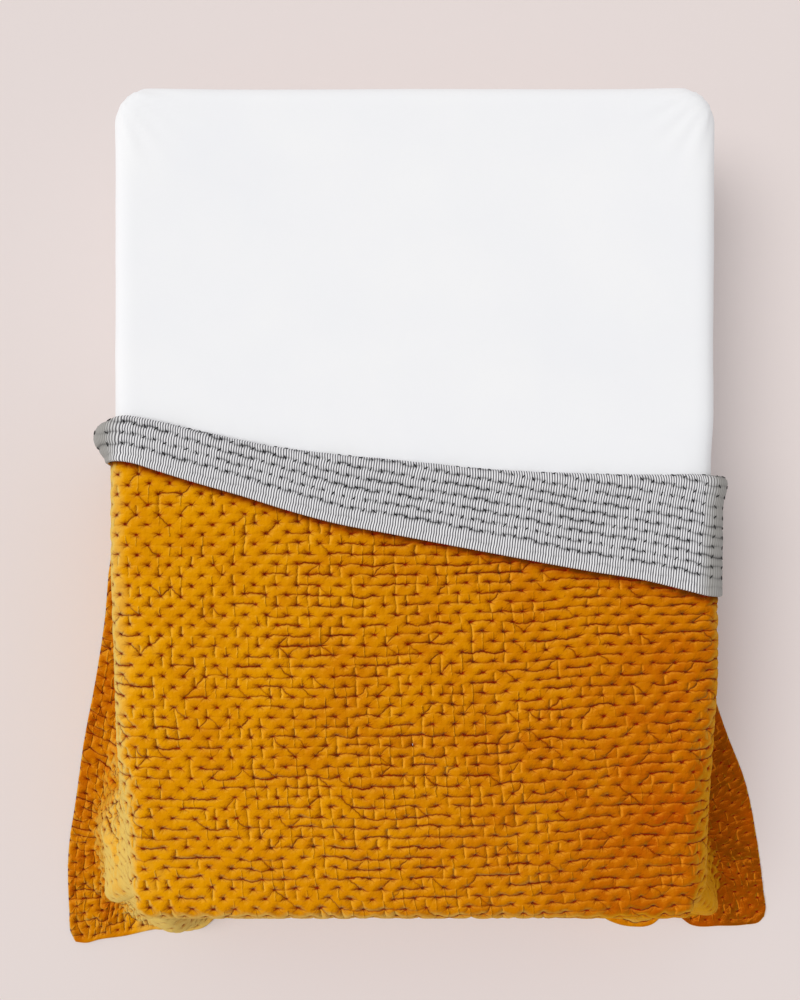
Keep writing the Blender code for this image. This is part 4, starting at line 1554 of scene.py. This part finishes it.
@dataclass
class Quilt:
    """The quilt: velvet face, striped backing and the stitches through both."""

    drape: Drape
    pitch: StitchPitch
    puff: float = 6.6 * MM
    sink: float = 3.3 * MM
    back_puff: float = 4.4 * MM
    back_sink: float = 2.4 * MM
    uneven: float = 0.7 * MM
    hem_roll: float = 5 * MM
    roll_steps: tuple[float, ...] = (0.9, 0.45, 0.15, 0.0)
    vein: tuple[float, ...] = (0, 0.15, 0.50, 0.85)
    coarse_vein: tuple[float, ...] = (0, 0.30, 0.70)
    back_vein: tuple[float, ...] = (0, 0.15, 0.35, 0.65, 0.85)
    fold_cells: int = 8
    band_cells: int = 6
    low_cells: int = 64
    visible_end: float = 1.55
    back_end: float = 0.36
    back_lead: float = 11 * MM
    slip_under: float = 0.035
    under_run: tuple[float, float] = (0.003, 0.015)
    least_tuck: float = 0.01
    fold_short: float = 0.015
    fold_lead: float = 0.010
    shown_run: tuple[float, float] = (-0.012, 0.010)
    rib_bow: float = 0.9 * MM
    stray_bow: float = 0.5 * MM
    stray_scale: tuple[float, float] = (1.4, 2.2)
    # The painted shadow below the turned-back end: where it starts, how far it reaches, and how far it lowers
    # the nap into painted shade
    shade_start: float = 5 * MM
    shade_reach: float = 5 * MM
    shade_nap: float = 1.2
    tone_nap: float = 0.09
    tail_nap: float = 0.5

    # How smooth the pile lies where the quilt falls freely, and how much fainter its pinches are there
    calm_start: tuple[float, float] = (0.02, 0.05)
    calm_end: float = 0.14
    calm_corner: float = 0.13
    calm_fade: float = 0.09
    corner_in: float = 0.04
    calm_depth: float = 0.6
    calm_crease: float = 0.80
    pinch_uneven: float = 0.25
    hung_run: tuple[float, float] = (0.90, 0.10)
    hung_depth: float = 0.25
    quiet_run: tuple[float, float] = (0.86, 0.08)
    hushes: tuple[tuple[str, float], ...] = (("row_crease", 0.50), ("slant_crease", 0.50),
                                             ("upright_crease", 0.10))

    # The stitches, how far past the fold or under the turned-back end they go, and their leans on the backing
    stitch_length: float = 5.5 * MM
    stitch_radius: float = 0.6 * MM
    stitch_lift: float = 0.3 * MM
    face_rows: int = 68
    back_length: float = 11.5 * MM
    back_radius: float = 1.35 * MM
    back_lift: float = 3.2 * MM
    back_rows: int = 15
    face_seen: float = 0.01
    back_seen: tuple[float, float] = (-0.004, 0.010)
    frame_step: float = 1.5 * MM
    back_leans: tuple[float, float] = (0.95, -0.85)
    back_stray: float = 0.3
    lean_seed: int = 19

    def __post_init__(self) -> None:
        """Sets out the stitches and the uneven pull of the cloth."""
        self.face_grid = StitchGrid(Side.FACE, self.pitch, seed=41)
        self.back_grid = StitchGrid(Side.BACK, self.pitch, seed=77)
        self.pull = Pull(self.drape.half_width, self.drape.foot_hem)
        self.nap = Nap(self.drape)
        self.pinch_depth = Wander(11, 0.10)
        self.hem_in = self.hem_roll * np.array(self.roll_steps)
        self.hem_out = self.hem_in[::-1]

    def column_stops(self) -> Array:
        """The grid's stops across, on every stitch column, closer on the bed than in the drops."""
        half = self.pitch.half
        last = self.drape.half_width
        inner = round((self.drape.core_x + self.drape.edge_start + self.drape.edge_length) / half)
        fine = between(0, inner * half - NEARLY, half, self.vein)
        coarse = between(inner * half, last - self.hem_roll - NEARLY, half, self.coarse_vein)
        right = np.concatenate([fine, coarse, last - self.hem_in])
        return np.concatenate([-right[:0:-1], right])

    def roll(self, gap: Array) -> Array:
        """How much of its thickness the quilt keeps at a distance from its hem, from 0 to 1."""
        t = np.clip(gap / self.hem_roll, 0, 1)
        return np.sqrt(np.maximum(1 - (1 - t) ** 2, 0))

    def calm(self, a: Array, b: Array) -> Array:
        """How smooth the pile lies at flat places, 1 where the quilt falls freely from the bed's edge."""
        over_x = np.maximum(np.abs(a) - self.drape.core_x, 0)
        over_y = np.maximum(-b - self.drape.core_y, 0)
        past = np.hypot(over_x, over_y) - self.drape.edge_start
        end = self.calm_end + self.calm_corner * ease(over_x / self.corner_in) * ease(over_y / self.corner_in)
        return onset(past, *self.calm_start) * (1 - onset(past, end, self.calm_fade))

    def face_surface(self, a: Array, v: Array) -> tuple[Array, Array, Array, Array, dict[str, Array]]:
        """The velvet's flat place, offset and relief at even places on the visible face.

        Args:
            a: even places across.
            v: even places along, from the foot hem.

        Returns:
            Flat across, flat along, offset, hem roll and the relief's layers.
        """
        across, along = self.pull.face(a, v)
        relief = self.face_grid.relief(a, v)
        length = along - self.drape.foot_hem
        calm = self.calm(across, length)
        quiet = onset(a, *self.quiet_run)
        hung = onset(-a, *self.hung_run)
        depth = 1 + self.pinch_uneven * self.pinch_depth.at(a, v)
        depth = depth * (1 - self.calm_depth * calm) * (1 + self.hung_depth * hung)
        for key, hush in self.hushes:
            relief[key] = relief[key] * (1 - self.calm_crease * calm) * (1 - hush * quiet)
        relief["calm"] = calm
        offset = self.drape.middle - self.sink + self.puff * (1 - (1 - relief["height"]) * depth)
        offset = offset + soft_creases(CREASES, across, length)
        offset = offset + self.uneven * self.nap.fine.at(across, length)
        gap = np.maximum(np.minimum(self.drape.half_width - np.abs(a), v), 0)
        return across, along, offset, self.roll(gap), relief

    def build_face(self, velvet: bpy.types.Material) -> bpy.types.Object:
        """Builds the velvet face, from its hem on the floor to its turned-back end.

        Args:
            velvet: its material.

        Returns:
            The piece.
        """
        drape = self.drape
        margin, row = self.face_grid.margin, self.pitch.row
        foot_rows = round((drape.foot_hem - drape.core_y - drape.edge_start - margin) / row) - 1
        foot = between(margin, margin + foot_rows * row - NEARLY, row, self.coarse_vein)
        top = between(margin + foot_rows * row, self.visible_end, row, self.vein)
        before = np.array([0.5 * (self.hem_out[-1] + margin)])
        lines = np.concatenate([self.hem_out, before, foot, top])
        columns = self.column_stops()
        a, v = np.meshgrid(columns, lines, indexing="ij")
        across, along, offset, roll, relief = self.face_surface(a, v)
        fold = drape.turn("fold", across)
        hem_line = drape.foot_hem + drape.band_hem(across)
        seen = hem_line + self.slip_under
        last = drape.foot_hem + fold - self.fold_short
        end = np.maximum(along[:, -1:], seen + self.least_tuck)
        tucked = seen + (along - seen) / (end - seen) * (last - seen)
        under = onset(along - seen + self.slip_under, *self.under_run)
        along = np.where(along > seen, tucked, along)
        offset = offset * (1 - under) + drape.middle * under
        front = drape.place(across, along - drape.foot_hem - fold, offset * roll)

        width = across[:, -1:]
        band = drape.turn("band", width)
        round_fold = stops((-self.fold_lead, 0, 1), (0, drape.fold_length, self.fold_cells))
        back_share = stops((0, 1, self.band_cells))[1:]
        past = np.concatenate([np.broadcast_to(round_fold[None, :], (len(columns), len(round_fold))),
                               drape.fold_length + (band - self.hem_roll) * back_share[None, :],
                               drape.fold_length + band - self.hem_in[None, :]], axis=1)
        tail_a = np.broadcast_to(width, past.shape)
        tail_roll = self.roll(np.minimum(drape.half_width - np.abs(tail_a), drape.fold_length + band - past))
        tail = drape.place(tail_a, past, drape.middle * tail_roll)
        points = np.concatenate([front, tail], axis=1)

        filler = np.zeros(past.shape)
        layers = {key: np.concatenate([relief[key] * (1 - under), filler], axis=1)
                  for key in ("row_crease", "row_bow", "slant_crease", "slant_bow", "upright_crease", "calm")}
        # Painted shadow on the velvet just below the turned-back end's hem, in its own layer and in a lower
        # nap
        band_shadow_fade = np.exp(-np.maximum(hem_line - along - self.shade_start, 0) / self.shade_reach)
        nap = self.nap.at(across, along) + self.tone_nap * relief["tone"] - self.shade_nap * band_shadow_fade
        layers["nap"] = np.concatenate([nap, filler + self.tail_nap], axis=1)
        layers["band_shadow"] = np.concatenate([band_shadow_fade, filler], axis=1)
        u = np.concatenate([a, tail_a], axis=1) / self.pitch.half
        rows = np.concatenate([v, v[:, -1:] + past + self.fold_lead], axis=1)
        mesh = grid_mesh("quilt_velvet_face", points, layers, {"stitch_grid": (u, (rows - margin) / row)})
        obj = mesh_object("quilt_velvet_face", mesh, velvet)
        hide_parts("quilt_face")
        return obj

    def back_surface(self, a: Array, d: Array) -> tuple[Array, Array, Array, dict[str, Array]]:
        """The backing's flat place, offset and relief at even places.

        Args:
            a: even places across.
            d: even distance from the head hem.

        Returns:
            Flat across, distance past the fold, offset, and the relief's layers.
        """
        drape = self.drape
        across, down = self.pull.back(a, d)
        past = drape.turn("band", across) + drape.fold_length - down
        relief = self.back_grid.relief(a, d)
        shown = onset(past, *self.shown_run)
        raised = drape.middle - self.back_sink + self.back_puff * relief["height"]
        offset = -(drape.middle * (1 - shown) + raised * shown)
        return across, past, offset, relief

    def build_backing(self, cotton: bpy.types.Material) -> bpy.types.Object:
        """Builds the striped backing, from its turned-back end to its hem on the floor.

        Args:
            cotton: its material.

        Returns:
            The piece.
        """
        drape = self.drape
        margin, row = self.back_grid.margin, self.pitch.row
        fine = between(margin, self.back_end, row, self.back_vein)
        lines = np.concatenate([self.hem_out, np.array([self.back_lead]), fine])
        a, d = np.meshgrid(self.column_stops(), lines, indexing="ij")
        across, past, offset, relief = self.back_surface(a, d)
        roll = self.roll(np.minimum(drape.half_width - np.abs(a), d))
        front = drape.place(across, past, offset * roll)

        width = across[:, -1:]
        start = past[:, -1:]
        end = -(drape.foot_hem + drape.turn("fold", width))
        share = stops((0, 1, self.low_cells))[1:]
        past_low = start + (end + self.hem_roll - start) * share[None, :]
        past_low = np.concatenate([past_low, end + self.hem_in[None, :]], axis=1)
        low_a = np.broadcast_to(width, past_low.shape)
        low_roll = self.roll(np.minimum(drape.half_width - np.abs(low_a), past_low - end))
        low = drape.place(low_a, past_low, -drape.middle * low_roll)
        points = np.concatenate([front, low], axis=1)

        steps = np.linalg.norm(np.diff(front, axis=0), axis=2)[:, len(self.hem_out) + 1:].mean(axis=1)
        measure = np.concatenate([[0.0], np.cumsum(steps)])
        measure = (measure - measure[len(measure) // 2])[:, None]
        rib = np.mod((d - margin) / row, 1)
        stray = self.pull.fine[0].at(a * self.stray_scale[0], d * self.stray_scale[1])
        bow = self.rib_bow * np.sin(math.pi * rib) + self.stray_bow * stray
        filler = np.zeros(past_low.shape)
        layers = {"row_crease": np.concatenate([relief["row_crease"], filler], axis=1)}
        run = np.concatenate([d, d[:, -1:] + start - past_low], axis=1)
        wide = np.concatenate([a, low_a], axis=1)
        maps = {"cloth": (np.concatenate([measure + bow, measure + 0 * low_a], axis=1), run),
                "stitch_grid": (wide / self.pitch.half, (run - margin) / row)}
        mesh = grid_mesh("quilt_striped_backing", points, layers, maps)
        obj = mesh_object("quilt_striped_backing", mesh, cotton)
        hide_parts("quilt_backing")
        return obj

    def frames(self, a: Array, past: Array, offset: Array) -> tuple[Array, Array]:
        """Where stitches lie and how they are turned.

        Args:
            a: flat places across.
            past: distances past the fold.
            offset: distances from the middle of the quilt, negative on the backing.

        Returns:
            The origins, and the axes: along the row, along the quilt, and out of the cloth.
        """
        step = self.frame_step
        origin = self.drape.place(a, past, offset)
        along_row = self.drape.place(a + step, past, offset) - self.drape.place(a - step, past, offset)
        along_cloth = self.drape.place(a, past + step, offset) - self.drape.place(a, past - step, offset)
        x = along_row / np.linalg.norm(along_row, axis=-1, keepdims=True)
        z = np.cross(x, along_cloth)
        z /= np.linalg.norm(z, axis=-1, keepdims=True)
        return origin, np.stack([x, np.cross(z, x), z], axis=1)

    def places(self, rows: int, each: int) -> Array:
        """The stitches of some rows by column and row, every one or every second one by turns."""
        last = int(self.drape.half_width / self.pitch.half) - 1
        columns = range(-last, last + 1)
        return np.array([(c, r) for r in range(rows) for c in columns if (c + r) % each == 0], float)

    def build_face_stitches(self, thread: bpy.types.Material) -> bpy.types.Object:
        """Builds the short stitches that show on the velvet.

        Args:
            thread: their material.

        Returns:
            The joined piece.
        """
        grid = self.places(self.face_rows, each=2)
        v = grid[:, 1] * self.pitch.row + self.face_grid.margin
        across, along = self.pull.face(grid[:, 0] * self.pitch.half, v)
        fold = self.drape.turn("fold", across)
        seen = along < self.drape.foot_hem + self.drape.band_hem(across) + self.face_seen
        across, along, fold = across[seen], along[seen], fold[seen]
        offset = np.full(across.shape, self.drape.middle - self.sink + self.stitch_lift)
        origins, axes = self.frames(across, along - self.drape.foot_hem - fold, offset)
        shape = thread_shape(self.stitch_length, self.stitch_radius)
        mesh = joined_copies("quilt_face_stitches", shape, origins, axes)
        obj = mesh_object("quilt_face_stitches", mesh, thread)
        return obj

    def build_back_stitches(self, thread: bpy.types.Material) -> bpy.types.Object:
        """Builds the slanting stitches that show on the turned-back end.

        Args:
            thread: their material.

        Returns:
            The joined piece.
        """
        grid = self.places(self.back_rows, each=1)
        d = grid[:, 1] * self.pitch.row + self.back_grid.margin
        across, past, _, _ = self.back_surface(grid[:, 0] * self.pitch.half, d)
        seen = (past > self.back_seen[0]) & (past < self.drape.turn("band", across) + self.back_seen[1])
        across, past, grid = across[seen], past[seen], grid[seen]
        offset = np.full(across.shape, -(self.drape.middle - self.back_sink + self.back_lift))
        origins, axes = self.frames(across, past, offset)
        rng = np.random.default_rng(self.lean_seed)
        lean = np.where(np.mod(grid[:, 0] + grid[:, 1], 2) < 0.5, *self.back_leans)
        lean = lean + rng.uniform(-self.back_stray, self.back_stray, len(grid))
        cos, sin = np.cos(lean)[:, None], np.sin(lean)[:, None]
        x = axes[:, 0] * cos + axes[:, 1] * sin
        y = axes[:, 1] * cos - axes[:, 0] * sin
        shape = thread_shape(self.back_length, self.back_radius)
        mesh = joined_copies("quilt_back_stitches", shape, origins, np.stack([x, y, axes[:, 2]], axis=1))
        obj = mesh_object("quilt_back_stitches", mesh, thread)
        return obj

    def build(self) -> list[bpy.types.Object]:
        """Builds and dresses the quilt.

        Returns:
            The quilt's pieces.
        """
        face = self.build_face(MustardVelvet(self.pitch).make())
        backing = self.build_backing(StripedCotton(self.pitch).make())
        face_stitches = self.build_face_stitches(SewingThread("brown_sewing_thread", "7a4204").make())
        back_stitches = self.build_back_stitches(SewingThread("charcoal_sewing_thread", "151418").make())
        return [face, backing, face_stitches, back_stitches]


# ---------------------------------------------------------------- the bed


@dataclass(frozen=True)
class Ruffle:
    """The soft pulls and puckers of the bare sheeting, within a couple of millimetres."""

    bare: tuple[float, float] = (0.26, 0.06)
    broad_lift: float = 1.2 * MM
    fine_lift: float = 0.5 * MM
    fine_stretch: float = 0.6
    side_band: float = 0.09
    pleat_waves: float = 61
    pleat_stray: float = 3
    pleat_run: float = 1.6
    pleat_depth: float = 1.1 * MM
    pucker_waves: float = 22
    pucker_depth: float = 1.6 * MM
    pucker_ring: tuple[float, float] = (0.10, 0.08)
    limits: tuple[float, float] = (-2.5 * MM, 2.0 * MM)
    low_fade: float = 0.03


@dataclass
class Bed:
    """The plain bed: a mattress in white sheeting on a low base."""

    width: float
    length: float
    low: float
    high: float
    base: bpy.types.Object
    drape: Drape
    upper_edge: float = 0.046
    lower_edge: float = 0.025
    voxel: float = 0.011
    corner_segments: int = 16
    rim_segments: int = 10
    ruffles: Ruffle = Ruffle()

    def build_mattress(self, sheeting: bpy.types.Material) -> bpy.types.Object:
        """Builds the mattress: a rounded block whose sheeting has soft pulls where the quilt leaves it bare.

        Args:
            sheeting: its material.

        Returns:
            The piece.
        """
        bm = bmesh.new()
        height = self.high - self.low
        bmesh.ops.create_cube(bm, size=1)
        bmesh.ops.scale(bm, vec=(self.width, self.length, height), verts=bm.verts)
        bmesh.ops.translate(bm, vec=(0, 0, (self.low + self.high) / 2), verts=bm.verts)
        upright = [edge for edge in bm.edges if abs(edge.verts[0].co.z - edge.verts[1].co.z) > height / 2]
        bmesh.ops.bevel(bm, geom=upright, offset=self.drape.plan_corner, segments=self.corner_segments,
                        profile=0.5, affect="EDGES", material=-1)
        for level, radius in ((self.high, self.upper_edge), (self.low, self.lower_edge)):
            rim = [edge for edge in bm.edges if all(abs(vert.co.z - level) < LEVEL for vert in edge.verts)]
            bmesh.ops.bevel(bm, geom=rim, offset=radius, segments=self.rim_segments, profile=0.5,
                            affect="EDGES", material=-1)
        mesh = bpy.data.meshes.new("mattress_in_sheeting")
        bm.to_mesh(mesh)
        bm.free()
        block = bpy.data.objects.new("mattress_block", mesh)
        bpy.context.scene.collection.objects.link(block)
        remesh = block.modifiers.new("even_faces", "REMESH")
        remesh.mode = "VOXEL"
        remesh.voxel_size = self.voxel
        bpy.context.view_layer.update()
        even = bpy.data.meshes.new_from_object(block.evaluated_get(bpy.context.evaluated_depsgraph_get()))
        bpy.data.objects.remove(block)
        bpy.data.meshes.remove(mesh)
        even.name = "mattress_in_sheeting"
        self.ruffle(even)
        obj = mesh_object("mattress_in_sheeting", even, sheeting)
        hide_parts("mattress")
        return obj

    def ruffle(self, mesh: bpy.types.Mesh) -> None:
        """Gives the bare end of the sheeting its soft pulls and puckers."""
        points = vertex_vectors(mesh, "co")
        normals = vertex_vectors(mesh, "normal")
        x, y, z = points.T
        soft = self.ruffles
        broad, fine = Wander(31, 0.34), Wander(32, 0.11)
        lift = soft.broad_lift * broad.at(x, y) + soft.fine_lift * fine.at(x * soft.fine_stretch, y)
        side = np.clip((self.high - z) / (self.high - self.low), 0, 1)
        around = np.where(np.abs(x) > self.width / 2 - soft.side_band, y, x)
        pleat = np.sin(around * soft.pleat_waves + soft.pleat_stray * broad.at(around, z))
        pleat = pleat * ease(side * soft.pleat_run) * soft.pleat_depth
        out_x, out_y = np.abs(x) - self.width / 2, y - self.length / 2
        ring, ring_width = soft.pucker_ring
        pucker = np.sin(np.arctan2(out_y, out_x) * soft.pucker_waves) * soft.pucker_depth
        pucker = pucker * np.exp(-((np.hypot(out_x, out_y) - ring) / ring_width) ** 2)
        move = onset(y, *soft.bare) * np.clip(lift + pleat + pucker, *soft.limits)
        move = move * ease((z - self.low) / soft.low_fade)
        x, y, z = (points + normals * move[:, None]).T
        give = self.drape.give
        points = give.points(x, y, z, scale=give.spare, ahead=give.ahead)
        mesh.vertices.foreach_set("co", points.astype(np.float32).reshape(-1))
        mesh.update()

    def dress_base(self, cloth: bpy.types.Material) -> None:
        """Gives the base its cloth."""
        self.base.data.materials.clear()
        self.base.data.materials.append(cloth)

    def build(self) -> list[bpy.types.Object]:
        """Builds and dresses the bed.

        Returns:
            The new pieces.
        """
        sheeting = PlainCloth("white_cotton_percale", "ffffff", "f8f9fc", thread=1.6 * MM,
                              weave_depth=0.1 * MM)
        base_cloth = PlainCloth("off_white_base_weave", "dcd9d6", "cfccc8", thread=3 * MM,
                                weave_depth=0.4 * MM)
        mattress = self.build_mattress(sheeting.make())
        self.dress_base(base_cloth.make())
        return [mattress]


# ---------------------------------------------------------------- the studio


@dataclass
class Studio:
    """The floor, the light and the camera straight above the bed."""

    floor_size: float = 14.0
    camera_place: tuple[float, float, float] = (-0.033, 0.0, 2.266)
    lens: float = 30.25
    key_source: tuple[float, float, float] = (-0.52, 0.13, 0.85)
    key_spread: float = 36.0
    key_strength: float = 1.48
    key_colour: str = "fffefc"
    sky: str = "f6f6f8"
    sky_strength: float = 0.57

    def build_floor(self) -> None:
        """Lays the floor."""
        bm = bmesh.new()
        bmesh.ops.create_grid(bm, x_segments=1, y_segments=1, size=self.floor_size / 2)
        mesh = bpy.data.meshes.new("studio_floor")
        bm.to_mesh(mesh)
        bm.free()
        mesh.materials.append(StudioFloor().make())
        floor = bpy.data.objects.new("studio_floor", mesh)
        bpy.context.scene.collection.objects.link(floor)

    def add_key_light(self) -> None:
        """Adds the key light: a wide soft sun, with its spread in degrees, in watts per square metre."""
        lamp = bpy.data.lights.new("key_light", "SUN")
        lamp.angle = math.radians(self.key_spread)
        lamp.energy = self.key_strength
        lamp.color = linear(self.key_colour)[:3]
        obj = bpy.data.objects.new("key_light", lamp)
        obj.rotation_euler = Vector(self.key_source).to_track_quat("Z", "Y").to_euler()
        bpy.context.scene.collection.objects.link(obj)

    def build(self) -> None:
        """Sets up the floor, light, sky and camera."""
        self.build_floor()
        self.add_key_light()
        world = bpy.data.worlds.new("studio_sky")
        world.use_nodes = True
        sky = world.node_tree.nodes["Background"]
        sky.inputs["Color"].default_value = linear(self.sky)
        sky.inputs["Strength"].default_value = self.sky_strength
        bpy.context.scene.world = world
        camera_data = bpy.data.cameras.new("camera")
        camera_data.lens = self.lens
        camera = bpy.data.objects.new("camera", camera_data)
        camera.location = self.camera_place
        bpy.context.scene.collection.objects.link(camera)
        bpy.context.scene.camera = camera
        bpy.context.scene.view_settings.view_transform = "Standard"


def main() -> None:
    """Builds the studio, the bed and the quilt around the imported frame, in that order."""
    logging.basicConfig(level=logging.INFO, format="%(name)s: %(message)s")
    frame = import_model()
    low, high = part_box("mattress")
    Studio().build()
    drape = Drape(half_x=(high.x - low.x) / 2, half_y=(high.y - low.y) / 2, bed_top=high.z)
    bed = Bed(width=high.x - low.x, length=high.y - low.y, low=low.z, high=high.z,
              base=frame["nodes"]["bed_base"], drape=drape)
    quilt = Quilt(drape, StitchPitch(half=HALF_WIDTH / SIDE_COLUMNS, row=ROW_PITCH))
    for piece in bed.build() + quilt.build():
        LOG.info("%s: %d faces", piece.name, len(piece.data.polygons))


if __name__ == "__main__":
    main()
